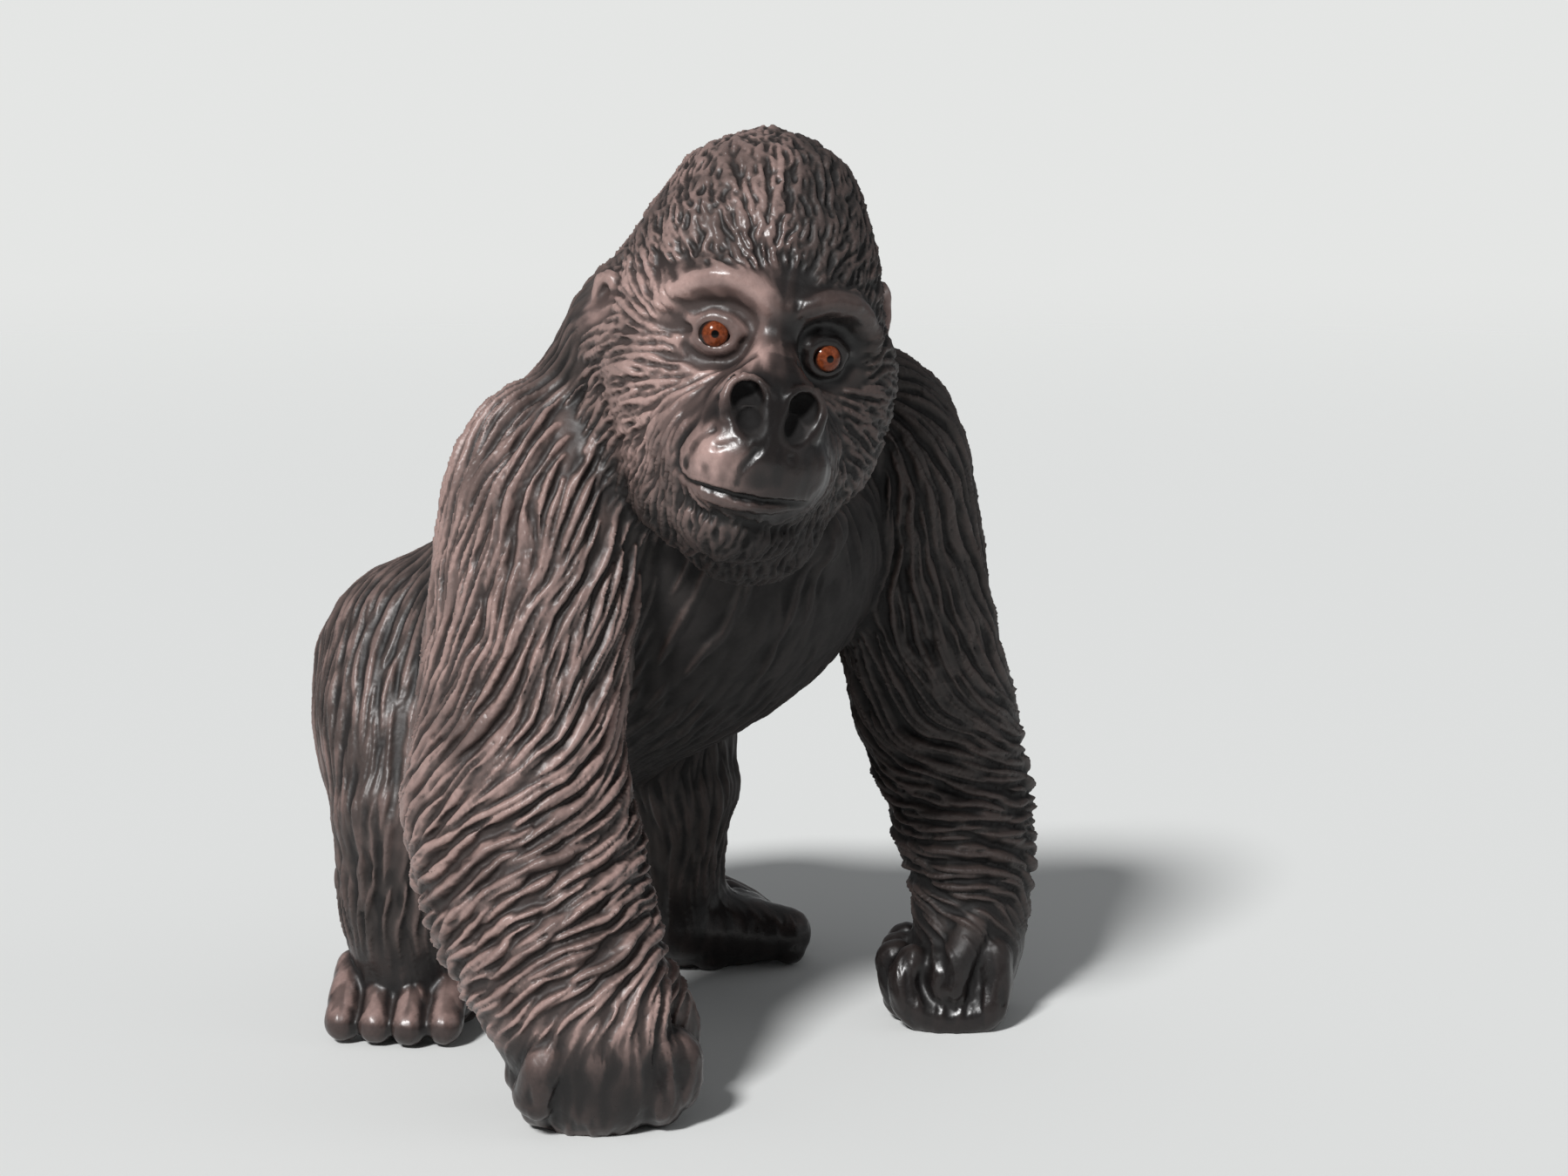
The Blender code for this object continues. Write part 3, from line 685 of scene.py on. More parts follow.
class Skin:
    """A sculpted surface, in millimetres, and the ways of working it."""

    def __init__(self, masses: Sequence[bmesh.types.BMesh], voxel: float, smoothing: int) -> None:
        """Fuses closed masses into one surface.

        Args:
            masses: what is fused; they are used up.
            voxel: the size of the surface's cells.
            smoothing: how often it is evened out.
        """
        self.mesh = self.cast(joined(masses), voxel, smoothing)

    @staticmethod
    def cast(mesh: bpy.types.Mesh, voxel: float, smoothing: int) -> bpy.types.Mesh:
        """Returns the outer surface of overlapping closed masses."""

        def add(modifiers: bpy.types.ObjectModifiers) -> None:
            """Adds the casting and the evening out."""
            remesh = modifiers.new("skin", "REMESH")
            remesh.mode = "VOXEL"
            remesh.voxel_size = voxel
            smooth = modifiers.new("even", "SMOOTH")
            smooth.factor = 0.5
            smooth.iterations = smoothing

        return applied(mesh, add)

    def points(self) -> np.ndarray:
        """Returns the vertex positions, one to a row."""
        return read(self.mesh.vertices, "co", 3)

    def normals(self) -> np.ndarray:
        """Returns the vertex normals, one to a row."""
        return read(self.mesh.vertex_normals, "vector", 3)

    def edge_ends(self) -> np.ndarray:
        """Returns the first vertex of every edge as one row, and the second as another."""
        return read(self.mesh.edges, "vertices", 2, int).T

    def place(self, points: np.ndarray) -> None:
        """Moves the vertices to these positions."""
        self.mesh.vertices.foreach_set("co", points.ravel())
        self.mesh.update()

    def averaged(self, values: np.ndarray, passes: int) -> np.ndarray:
        """Returns values smoothed over neighbouring vertices.

        Args:
            values: one row for each vertex.
            passes: how often each takes the mean of its neighbours.

        Returns:
            The smoothed rows.
        """
        one, other = self.edge_ends()
        size = len(self.mesh.vertices)
        count = (np.bincount(one, minlength=size) + np.bincount(other, minlength=size))[:, None]
        for _ in range(passes):
            around = np.empty_like(values)
            for column in range(values.shape[1]):
                totals = np.bincount(one, values[other, column], size)
                totals += np.bincount(other, values[one, column], size)
                around[:, column] = totals
            values = around / count
        return values

    def fill_creases(self, passes: int) -> None:
        """Raises only the valleys between masses, as clay pressed into a joint does."""
        for _ in range(passes):
            points, normals = self.points(), self.normals()
            rise = ((self.averaged(points, 1) - points) * normals).sum(1).clip(min=0)
            self.place(points + normals * rise[:, None])

    def press(self, path: Sequence[Point], radius: float, depth: float) -> None:
        """Presses a rounded groove along a path, or a dent where the path is one point.

        Args:
            path: points that the groove runs through.
            radius: half of its width.
            depth: how deep it is; below 0 it is raised.
        """
        points = self.points()
        spots = spline(path, 8) if len(path) > 1 else np.array(path, float)
        near = np.full(len(points), np.inf)
        for spot in spots:
            near = np.minimum(near, np.linalg.norm(points - spot, axis=1))
        fall = (1 - (near / radius) ** 2).clip(min=0) ** 2
        self.place(points - self.normals() * (depth * fall)[:, None])

    def add(self, masses: Sequence[bmesh.types.BMesh], voxel: float, smoothing: int) -> None:
        """Lays further masses on the skin and casts it again."""
        whole = bmesh.new()
        whole.from_mesh(self.mesh)
        self.mesh = self.cast(joined([whole, *masses]), voxel, smoothing)

    def relief(self, passes: int) -> np.ndarray:
        """Returns how far each vertex stands above the evened-out surface."""
        points = self.points()
        return ((points - self.averaged(points, passes)) * self.normals()).sum(1)

    def sharpen(self, passes: int, strength: float) -> None:
        """Deepens grooves and raises ridges.

        Args:
            passes: how wide a surface they are measured against.
            strength: by what share of their height they grow.
        """
        rise = self.relief(passes) * strength
        self.place(self.points() + self.normals() * rise.clip(-0.25, 0.25)[:, None])

    def strands(self, comb: np.ndarray, passes: int) -> np.ndarray:
        """Returns fine noise drawn out along the comb, spread evenly from 0 to 1.

        Args:
            comb: the direction of the hair at each vertex.
            passes: how far it is drawn out.

        Returns:
            One number for each vertex.
        """
        points = self.points()
        one, other = self.edge_ends()
        line = unit_rows(points[other] - points[one], 1e-9)
        pull = ((line * (comb[one] + comb[other])).sum(1) / 2) ** 6 + 0.004
        size = len(points)
        total = np.bincount(one, pull, size) + np.bincount(other, pull, size)
        values = np.random.default_rng(11).random(size)
        for _ in range(passes):
            drawn = np.bincount(one, pull * values[other], size)
            drawn += np.bincount(other, pull * values[one], size)
            values = 0.5 * values + 0.5 * drawn / total
        rank = np.empty(size)
        rank[values.argsort()] = np.linspace(0, 1, size)
        return rank

    def mark(self, name: str, values: np.ndarray) -> None:
        """Stores a number, or three, for each vertex under a name."""
        kind, key = ("FLOAT_VECTOR", "vector") if values.ndim == 2 else ("FLOAT", "value")
        layer = self.mesh.attributes.new(name, kind, "POINT")
        layer.data.foreach_set(key, values.astype(np.float32).ravel())


class Wire:
    """An output socket of a node, on which sums are written as Python expressions."""

    def __init__(self, sheet: NodeSheet, socket: bpy.types.NodeSocket) -> None:
        """Wraps a socket of a sheet's node."""
        self.sheet = sheet
        self.socket = socket

    def maths(self, operation: str, *values: object) -> Wire:
        """Adds a Math node, or a Vector Math node where a value is a vector.

        Args:
            operation: the node's operation.
            values: its inputs, as numbers, vectors or wires.

        Returns:
            The node's output.
        """

        def is_vector(value: object) -> bool:
            """Tells a vector from a number."""
            if isinstance(value, Wire):
                return value.socket.type == "VECTOR"
            return not isinstance(value, (int, float))

        vectors = any(is_vector(value) for value in values)
        node_type = "ShaderNodeVectorMath" if vectors else "ShaderNodeMath"
        return self.sheet.node(node_type, {"operation": operation}, dict(enumerate(values)))

    def __add__(self, other: object) -> Wire:
        """Returns self + other."""
        return self.maths("ADD", self, other)

    def __radd__(self, other: object) -> Wire:
        """Returns other + self."""
        return self.maths("ADD", other, self)

    def __sub__(self, other: object) -> Wire:
        """Returns self - other."""
        return self.maths("SUBTRACT", self, other)

    def __rsub__(self, other: object) -> Wire:
        """Returns other - self."""
        return self.maths("SUBTRACT", other, self)

    def __mul__(self, other: object) -> Wire:
        """Returns self * other."""
        return self.maths("MULTIPLY", self, other)

    def __rmul__(self, other: object) -> Wire:
        """Returns other * self."""
        return self.maths("MULTIPLY", other, self)

    def __truediv__(self, other: object) -> Wire:
        """Returns self / other."""
        return self.maths("DIVIDE", self, other)

    def __rtruediv__(self, other: object) -> Wire:
        """Returns other / self."""
        return self.maths("DIVIDE", other, self)

    def __pow__(self, power: float) -> Wire:
        """Returns self to a power."""
        return self.maths("POWER", self, power)

    def scaled(self, factor: object) -> Wire:
        """Returns a vector multiplied by a number."""
        inputs = {"Vector": self, "Scale": factor}
        return self.sheet.node("ShaderNodeVectorMath", {"operation": "SCALE"}, inputs)

    def unit(self) -> Wire:
        """Returns a vector at length 1."""
        return self.sheet.node("ShaderNodeVectorMath", {"operation": "NORMALIZE"}, {0: self})

    def span(self, low: float, high: float) -> Wire:
        """Returns 0 up to low, 1 from high on, and a smooth rise between them."""
        settings = {"interpolation_type": "SMOOTHSTEP"}
        inputs = {"Value": self, "From Min": low, "From Max": high}
        return self.sheet.node("ShaderNodeMapRange", settings, inputs, "Result")


class NodeSheet:
    """A node tree, and the one way of adding a node to it."""

    def __init__(self, tree: bpy.types.NodeTree) -> None:
        """Takes the tree that the nodes go in."""
        self.tree = tree

    @classmethod
    def blank(cls, owner: bpy.types.Material | bpy.types.World) -> NodeSheet:
        """Empties the tree of a material or a world, and returns it as a sheet."""
        owner.use_nodes = True
        owner.node_tree.nodes.clear()
        return cls(owner.node_tree)

    def end(self, node_type: str, shader: bpy.types.Node) -> None:
        """Leads a shader to the tree's output, which is of this type."""
        out = self.add(node_type, {}, {})
        self.tree.links.new(shader.outputs[0], out.inputs["Surface"])

    def add(self, node_type: str, settings: Settings, inputs: Inputs) -> bpy.types.Node:
        """Adds a node.

        Args:
            node_type: Blender's name for it.
            settings: its options, set first.
            inputs: values or wires of its sockets, by name or index.

        Returns:
            The node.
        """
        node = self.tree.nodes.new(node_type)
        for key, value in settings.items():
            setattr(node, key, value)
        for key, value in inputs.items():
            socket = self.socket_of(node, key)
            if isinstance(value, Wire):
                self.tree.links.new(value.socket, socket)
            elif isinstance(value, (int, float)) and hasattr(socket.default_value, "__len__"):
                socket.default_value = [value] * len(socket.default_value)
            else:
                socket.default_value = value
        return node

    @staticmethod
    def socket_of(node: bpy.types.Node, key: object) -> bpy.types.NodeSocket:
        """Finds an input that is in use, by index or name."""
        if isinstance(key, int):
            return node.inputs[key]
        return next(socket for socket in node.inputs if socket.name == key and socket.enabled)

    def node(
        self,
        node_type: str,
        settings: Settings,
        inputs: Inputs,
        output: str | int = 0,
    ) -> Wire:
        """Adds a node and returns one of its outputs, by name or index, as a wire."""
        node = self.add(node_type, settings, inputs)
        enabled = [socket for socket in node.outputs if socket.enabled]
        if isinstance(output, int):
            return Wire(self, enabled[output])
        return Wire(self, next(socket for socket in enabled if socket.name == output))

    def place(self) -> Wire:
        """Returns the place on the object, in metres."""
        return self.node("ShaderNodeTexCoord", {}, {}, "Object")

    def noise(self, place: Wire, scale: float, detail: float) -> Wire:
        """Returns noise from 0 to 1."""
        inputs = {"Vector": place, "Scale": scale, "Detail": detail}
        return self.node("ShaderNodeTexNoise", {}, inputs)

    def mixed(self, factor: object, low: object, high: object) -> Wire:
        """Returns a colour between low and high."""
        inputs = {"Factor": factor, "A": low, "B": high}
        return self.node("ShaderNodeMix", {"data_type": "RGBA"}, inputs, "Result")


class CoatTree:
    """A Geometry Nodes tree that lays tapered locks of hair along the comb of a skin."""

    SIZES = (
        ("Spacing", "NodeSocketFloat", 1.2),
        ("Length", "NodeSocketFloat", 8.0),
        ("Width", "NodeSocketFloat", 1.0),
        ("Height", "NodeSocketFloat", 0.4),
        ("Waviness", "NodeSocketFloat", 0.3),
        ("Wave length", "NodeSocketFloat", 6.0),
        ("Lift", "NodeSocketFloat", 0.3),
        ("Seed", "NodeSocketInt", 1),
        ("Region", "NodeSocketString", ""),
        ("Material", "NodeSocketMaterial", None),
    )

    def __init__(self, steps: int) -> None:
        """Builds the tree, with this many steps to a lock."""
        self.tree = bpy.data.node_groups.new("coat", "GeometryNodeTree")
        self.tree.interface.new_socket("Geometry", in_out="INPUT", socket_type="NodeSocketGeometry")
        self.tree.interface.new_socket("Geometry", in_out="OUTPUT", socket_type="NodeSocketGeometry")
        self.sockets = {}
        for name, kind, value in self.SIZES:
            item = self.tree.interface.new_socket(name, in_out="INPUT", socket_type=kind)
            if value is not None:
                item.default_value = value
            self.sockets[name] = item.identifier
        self.steps = steps
        self.build()

    def build(self) -> None:
        """Adds the nodes: seeds, the walk along the comb, then the section of each lock."""
        sheet = NodeSheet(self.tree)
        given = sheet.add("NodeGroupInput", {}, {})

        def size(name: str) -> Wire:
            """Returns one of the tree's inputs."""
            return Wire(sheet, given.outputs[name])

        def named(name: object, kind: str) -> Wire:
            """Returns a named attribute."""
            return sheet.node("GeometryNodeInputNamedAttribute", {"data_type": kind}, {"Name": name})

        def on_skin(value: Wire, kind: str) -> Wire:
            """Returns what a value is on the skin, at the place nearest to the point."""
            inputs = {"Mesh": skin, "Value": value}
            return sheet.node("GeometryNodeSampleNearestSurface", {"data_type": kind}, inputs)

        skin = size("Geometry")
        seeds = sheet.node(
            "GeometryNodeDistributePointsOnFaces",
            {"distribute_method": "POISSON"},
            {
                "Mesh": skin,
                "Distance Min": size("Spacing"),
                "Density Max": 60.0,
                "Density Factor": named(size("Region"), "FLOAT"),
                "Seed": size("Seed"),
            },
            "Points",
        )
        index = sheet.node("GeometryNodeInputIndex", {}, {})
        seeds = sheet.node(
            "GeometryNodeStoreNamedAttribute",
            {"data_type": "INT", "domain": "POINT"},
            {"Geometry": seeds, "Name": "lock", "Value": index},
        )
        position = sheet.node("GeometryNodeInputPosition", {}, {})
        normal = sheet.node("GeometryNodeInputNormal", {}, {})
        lock = named("lock", "INT")
        vary = sheet.node(
            "FunctionNodeRandomValue",
            {"data_type": "FLOAT"},
            {"Min": 0.65, "Max": 1.25, "ID": lock, "Seed": 7},
        )

        start = self.tree.nodes.new("GeometryNodeRepeatInput")
        end = self.tree.nodes.new("GeometryNodeRepeatOutput")
        start.pair_with_output(end)
        end.repeat_items.new("GEOMETRY", "Trail")
        end.repeat_items.new("INT", "Count")
        start.inputs["Iterations"].default_value = self.steps
        links = self.tree.links
        links.new(seeds.socket, start.inputs["Geometry"])
        walkers = Wire(sheet, start.outputs["Geometry"])
        trail = Wire(sheet, start.outputs["Trail"])
        count = Wire(sheet, start.outputs["Count"])
        marked = sheet.node(
            "GeometryNodeStoreNamedAttribute",
            {"data_type": "INT", "domain": "POINT"},
            {"Geometry": walkers, "Name": "order", "Value": count},
        )
        gathered = sheet.add("GeometryNodeJoinGeometry", {}, {})
        links.new(trail.socket, gathered.inputs[0])
        links.new(marked.socket, gathered.inputs[0])
        links.new(gathered.outputs[0], end.inputs["Trail"])
        heading = on_skin(named("comb", "FLOAT_VECTOR"), "FLOAT_VECTOR")
        facing = on_skin(normal, "FLOAT_VECTOR")
        sideways = facing.maths("CROSS_PRODUCT", facing, heading)
        noise = sheet.node(
            "ShaderNodeTexNoise",
            {"noise_dimensions": "3D"},
            {"Vector": position, "Scale": 1.0 / size("Wave length"), "Detail": 1.0},
        )
        wander = (noise - 0.5) * 2.0 * size("Waviness")
        step = size("Length") * vary * (1.0 / (self.steps - 1))
        course = (heading + sideways.scaled(wander)).unit()
        stepped = position + course.scaled(step)
        grounded = sheet.node(
            "GeometryNodeProximity",
            {"target_element": "FACES"},
            {0: skin, "Sample Position": stepped},
            "Position",
        )
        walked = sheet.node("GeometryNodeSetPosition", {}, {"Geometry": marked, "Position": grounded})
        links.new(walked.socket, end.inputs["Geometry"])
        links.new((count + 1.0).socket, end.inputs["Count"])

        curves = sheet.node(
            "GeometryNodePointsToCurves",
            {},
            {
                0: Wire(sheet, end.outputs["Trail"]),
                "Curve Group ID": lock,
                "Weight": named("order", "INT"),
            },
        )
        inputs = {"Curve": curves, "Normal": facing}
        curves = sheet.node("GeometryNodeSetCurveNormal", {"mode": "FREE"}, inputs)
        along = sheet.node("GeometryNodeSplineParameter", {}, {}, "Factor")
        full = on_skin(named("fullness", "FLOAT"), "FLOAT")
        rise = (along * 1.25 - 0.35) * size("Lift") * vary * full
        inputs = {"Geometry": curves, "Offset": facing.scaled(rise)}
        curves = sheet.node("GeometryNodeSetPosition", {}, inputs)
        clamped = {"operation": "MULTIPLY", "use_clamp": True}
        swell = sheet.node("ShaderNodeMath", clamped, {0: along * 2.6 + 0.35, 1: 1.0})
        taper = (1.02 - along**2.2) ** 0.7
        girth = size("Width") * 0.5 * swell * taper * vary * full
        curves = sheet.node("GeometryNodeSetCurveRadius", {}, {"Curve": curves, "Radius": girth})
        circle = {"Resolution": 4, "Radius": 1.0}
        profile = sheet.node("GeometryNodeCurvePrimitiveCircle", {"mode": "RADIUS"}, circle, "Curve")
        thickness = size("Height") * 2.0 / size("Width")
        flat = sheet.node("ShaderNodeCombineXYZ", {}, {"X": thickness, "Y": 1.0, "Z": 1.0})
        profile = sheet.node("GeometryNodeTransform", {}, {"Geometry": profile, "Scale": flat})
        inputs = {"Curve": curves, "Profile Curve": profile, "Fill Caps": True}
        sleeve = sheet.add("GeometryNodeCurveToMesh", {}, inputs)
        if "Scale" in sleeve.inputs:
            girth_here = sheet.node("GeometryNodeInputRadius", {}, {})
            links.new(girth_here.socket, sleeve.inputs["Scale"])
        sleeves = Wire(sheet, sleeve.outputs["Mesh"])
        solid = sheet.node("GeometryNodeRealizeInstances", {}, {"Geometry": sleeves})
        inputs = {"Geometry": solid, "Material": size("Material")}
        dressed = sheet.node("GeometryNodeSetMaterial", {}, inputs)
        out = self.tree.nodes.new("NodeGroupOutput")
        links.new(dressed.socket, out.inputs["Geometry"])

    def locks(self, skin: bpy.types.Mesh, coat: Coat) -> bmesh.types.BMesh:
        """Lays one coat on the skin.

        Args:
            skin: the surface, with its comb and the coat's region marked.
            coat: the sizes.

        Returns:
            The locks, as closed masses.
        """

        def add(modifiers: bpy.types.ObjectModifiers) -> None:
            """Adds the tree with the coat's sizes; the coat's fields bear its inputs' names."""
            modifier = modifiers.new("coat", "NODES")
            modifier.node_group = self.tree
            for name, identifier in self.sockets.items():
                if name != "Material":
                    modifier[identifier] = getattr(coat, name.lower().replace(" ", "_"))

        mesh = applied(skin, add)
        mass = bmesh.new()
        mass.from_mesh(mesh)
        bmesh.ops.recalc_face_normals(mass, faces=mass.faces)
        log.info("coat %s: %d faces", coat.region, len(mesh.polygons))
        bpy.data.meshes.remove(mesh)
        return mass


@dataclass(frozen=True)
class Coat:
    """The locks of one region, in millimetres."""

    region: str
    spacing: float
    length: float
    width: float
    height: float
    waviness: float
    wave_length: float
    lift: float
    seed: int


@dataclass(frozen=True)
class PaintedPlastic:
    """Dark plastic with thin near-black paint in its grooves and paler paint laid by brush over its ridges,
    with painted light and shade: the paler paint lies thicker towards the light, and the near-black
    also lies as painted shade on undersides and on the side away from the light.

    Attributes:
        wash_and_shade: near-black colour left in the grooves, also laid on as painted shade.
        body: colour of the moulded plastic.
        brushed_and_lit: paler paint on the ridges, laid on more thickly as painted light on the side towards
            the light.
        skin: colour of bare skin on the face, hands and feet.
        roughness: how dull the coat is.
        skin_roughness: how dull bare skin is.
        patch_scale: how fine the patches are where the brush caught.
        speckle_scale: how fine the specks in the brushed paint are.
        pore_scale: how fine the pores of the surface are.
    """

    name: str = "painted_plastic"
    wash_and_shade: Colour = (0.005, 0.004, 0.004, 1)
    body: Colour = (0.040, 0.031, 0.028, 1)
    brushed_and_lit: Colour = (0.40, 0.270, 0.243, 1)
    skin: Colour = (0.020, 0.015, 0.014, 1)
    roughness: float = 0.40
    skin_roughness: float = 0.30
    patch_scale: float = 170.0
    speckle_scale: float = 2600.0
    pore_scale: float = 1500.0

    def material(self) -> bpy.types.Material:
        """Builds the shader."""
        made = bpy.data.materials.new(self.name)
        sheet = NodeSheet.blank(made)

        def marked(name: str) -> Wire:
            """Returns what is marked on the surface under a name."""
            return sheet.node("ShaderNodeAttribute", {"attribute_name": name}, {}, "Fac")

        relief = marked("relief")
        bare = marked("bare")
        warm = marked("warm")
        dark = marked("dark")
        strand = marked("strand")
        place = sheet.place()
        patches = sheet.noise(place, self.patch_scale, 3.0)
        speckle = sheet.noise(place, self.speckle_scale, 2.0)
        pores = sheet.noise(place, self.pore_scale, 3.0)

        rough_relief = relief + (strand - 0.5) * 0.10
        groove = 1.0 - rough_relief.span(-0.14, 0.03)
        ridge = rough_relief.span(0.0, 0.15)
        colour = sheet.mixed(bare, self.body, self.skin)
        # Paler paint as a tint and on the ridges, laid on more on the side towards the light as painted
        # light.
        brushing_and_light = ridge * (0.13 + warm * 0.85) * patches.span(0.25, 0.6) * (0.6 + speckle * 0.8)
        colour = sheet.mixed(warm * warm * 0.42, colour, self.brushed_and_lit)
        colour = sheet.mixed(brushing_and_light, colour, self.brushed_and_lit)
        # Near-black paint in the grooves, less of it where paler paint and painted light are strong.
        colour = sheet.mixed(groove * (0.95 - warm * 0.3), colour, self.wash_and_shade)
        # Near-black laid over the rest: painted shade on undersides, the side away from the light, under the
        # chin and in the nostrils, with the dark paint of the nose and muzzle.
        colour = sheet.mixed(dark * 0.85, colour, self.wash_and_shade)
        polish = bare * (self.roughness - self.skin_roughness)
        rough = self.roughness + (speckle - 0.5) * 0.12 + groove * 0.15 - polish
        rough = rough + dark * (1.0 - bare) * 0.35
        inputs = {"Strength": 0.35, "Distance": 0.0001, "Height": pores}
        bump = sheet.node("ShaderNodeBump", {}, inputs)
        shader = sheet.add(
            "ShaderNodeBsdfPrincipled",
            {},
            {"Base Color": colour, "Roughness": rough, "Specular IOR Level": 0.42, "Normal": bump},
        )
        sheet.end("ShaderNodeOutputMaterial", shader)
        return made


@dataclass(frozen=True)
class EyePaint:
    """A glossy painted eye: black pupil, orange-brown iris, dark rim.

    Attributes:
        name: the material's name.
        centre: the middle of the pupil, in metres.
        pupil: its radius.
        iris: the radius of the iris.
        deep: the darker colour of the iris.
        pale: the paler colour of the iris.
        black: the colour of the pupil.
        rim: the colour round the iris.
    """

    name: str
    centre: Point
    pupil: float = 0.00030
    iris: float = 0.00098
    deep: Colour = (0.11, 0.024, 0.008, 1)
    pale: Colour = (0.22, 0.052, 0.018, 1)
    black: Colour = (0.001, 0.001, 0.001, 1)
    rim: Colour = (0.012, 0.008, 0.007, 1)

    def material(self) -> bpy.types.Material:
        """Builds the shader, which measures from the pupil's place."""
        made = bpy.data.materials.new(self.name)
        sheet = NodeSheet.blank(made)
        place = sheet.place()
        inputs = {0: place, 1: self.centre}
        reach = sheet.node("ShaderNodeVectorMath", {"operation": "DISTANCE"}, inputs, "Value")
        iris = sheet.mixed(sheet.noise(place, 3500.0, 2.0).span(0.3, 0.7), self.deep, self.pale)
        colour = sheet.mixed(reach.span(self.pupil * 0.8, self.pupil * 1.2), self.black, iris)
        colour = sheet.mixed(reach.span(self.iris * 0.9, self.iris * 1.15), colour, self.rim)
        inputs = {"Base Color": colour, "Roughness": 0.14, "Specular IOR Level": 0.25}
        shader = sheet.add("ShaderNodeBsdfPrincipled", {}, inputs)
        sheet.end("ShaderNodeOutputMaterial", shader)
        return made


class Chart:
    """Where each vertex of a skin lies, for the comb, the coats, the paint and the painted light and shade.

    Each share is a number from 0 to 1 for each vertex.
    """

    # Directions of the painted light and shade: towards the light, and down and forwards, where painted shade
    # goes.
    LIGHT = np.array((-0.93, -0.25, 0.25))
    SHADE = np.array((0.30, -0.62, -0.72))

    def __init__(self, skin: Skin, sculpted: Head, limbs: dict[str, Limb]) -> None:
        """Measures a skin.

        Args:
            skin: the surface.
            sculpted: the head on it.
            limbs: the other masses that hair lies along, by name.
        """
        self.points, self.normals = skin.points(), skin.normals()
        self.sculpted = sculpted
        self.face = in_frame(self.points, sculpted.face_frame())
        self.skull = in_frame(self.points, sculpted.skull_frame())
        self.front = soft(-self.face[:, 1], 2.5, 4.5)
        self.comb, self.owner, self.share_of = self.lie(limbs)
        self.upper, self.fore, self.shins, self.thighs = (
            self.share_of[f"right_{part}"] + self.share_of[f"left_{part}"]
            for part in ("upper_arm", "forearm", "shin", "thigh")
        )
        self.head = self.share_of["head"]
        mirrored = np.abs(self.skull * (1, 0, 0)) + self.skull * (0, 1, 1)
        self.from_ear = np.linalg.norm(mirrored - sculpted.ear, axis=1)
        self.hands = soft(-self.points[:, 2], -9.0, -5.5) * (self.points[:, 1] < 2)
        self.feet = soft(-self.points[:, 2], -9.0, -7.0) * (self.points[:, 1] > 4)
        self.bare = np.maximum(self.bare_head(), np.maximum(self.hands, self.feet))
        self.hairy = 1 - self.bare
        self.upward = soft(self.normals[:, 2], 0.1, 0.7)
        # The half of the face towards the light, which gets painted light, and the other half painted shade.
        self.lit = 0.12 + 0.88 * soft(-self.face[:, 0], -0.6, 1.4)
        self.nose = self.oval((0, -4.8), (4.0, 3.4))
        self.muzzle = self.oval((0, -8.2), (6.2, 4.8))
        self.bump = 1 - soft(np.linalg.norm(self.face - (-3.4, -13.6, -8.2), axis=1), 1.6, 3.2)
        self.holes = self.nostrils()
        self.detail = 1 + self.head * 0.35

    def lie(self, limbs: dict[str, Limb]) -> tuple[np.ndarray, np.ndarray, dict[str, np.ndarray]]:
        """Works out how the hair lies.

        Args:
            limbs: the masses that hair lies along, by name.

        Returns:
            The comb's direction, the number in PIECES of each vertex's piece, and the share
            that each mass has in each vertex, by the mass's name.
        """
        names, weights, headings = [], [], []
        for name, limb in limbs.items():
            found = limb.measure(self.points)
            cosine, sine = np.cos(found["winding"])[:, None], np.sin(found["winding"])[:, None]
            heading = found["heading"]
            if name in ("trunk", "neck"):
                heading = -heading + np.array((0, 0, -0.6))
            if name.endswith(("thigh", "shin")):
                heading = heading + np.array((0, 0.1, -0.4))
            flat = unit_rows(flattened(heading, self.normals), 1e-9)
            names.append(name)
            weights.append(np.exp(-9 * found["near"]))
            headings.append(flat * cosine + np.cross(self.normals, flat) * sine)
        radial = self.points - np.array(self.sculpted.face_frame() @ Vector((0, -9.0, -3.0)))
        reach = np.sqrt(
            (self.skull[:, 0] / 11.0) ** 2
            + ((self.skull[:, 1] - 1.0) / 10.5) ** 2
            + ((self.skull[:, 2] - 0.5) / 17.0) ** 2
        )
        names.append("head")
        weights.append(np.exp(-9 * reach * 0.93))
        headings.append(unit_rows(flattened(radial, self.normals), 1e-9))
        weights = np.stack(weights, 1)
        owner = np.array([PIECES.index(name) for name in names])[weights.argmax(1)]
        shares = weights / weights.sum(1)[:, None]
        comb = sum(share[:, None] * heading for share, heading in zip(shares.T, headings))
        comb = unit_rows(flattened(comb, self.normals), 1e-9)
        return comb, owner, {name: shares[:, column] for column, name in enumerate(names)}

    def oval(self, centre: tuple[float, float], reach: tuple[float, float]) -> np.ndarray:
        """Returns the share of an oval on the face, or of two where it isn't in the middle."""
        across = np.abs(self.face[:, 0]) if centre[0] else self.face[:, 0]
        away = np.hypot((across - centre[0]) / reach[0], (self.face[:, 2] - centre[1]) / reach[1])
        return (1 - soft(away, 0.8, 1.2)) * self.front

    def bare_head(self) -> np.ndarray:
        """Returns the share of the sockets, muzzle, nose bridge, brow and ears."""
        bare = self.oval((4.2, 0.3), (3.0, 2.9))
        for centre, reach in (((0, -7.2), (6.3, 5.5)), ((0, 0.5), (3.0, 4.6)), ((0, 3.5), (8.8, 1.7))):
            bare = np.maximum(bare, self.oval(centre, reach))
        return np.maximum(bare, 1 - soft(self.from_ear, 1.8, 2.8))

    def nostrils(self) -> np.ndarray:
        """Returns the share of the holes of the nose."""
        x, _, z = self.sculpted.nostril
        lean = (self.face[:, 2] - z) * 0.3
        away = np.hypot((np.abs(self.face[:, 0]) - x - lean) / 1.3, (self.face[:, 2] - z) / 1.9)
        return (1 - soft(away, 0.85, 1.1)) * self.front

    def fullness(self) -> np.ndarray:
        """Returns how thick the locks are, which is less near the hands and feet."""
        cuff = np.where(self.points[:, 1] < 2, 8.0, 8.5)
        low = soft(self.points[:, 2] - cuff, 0.0, 7.0)
        return (0.3 + 0.7 * low) * (1 - 0.75 * self.bare)

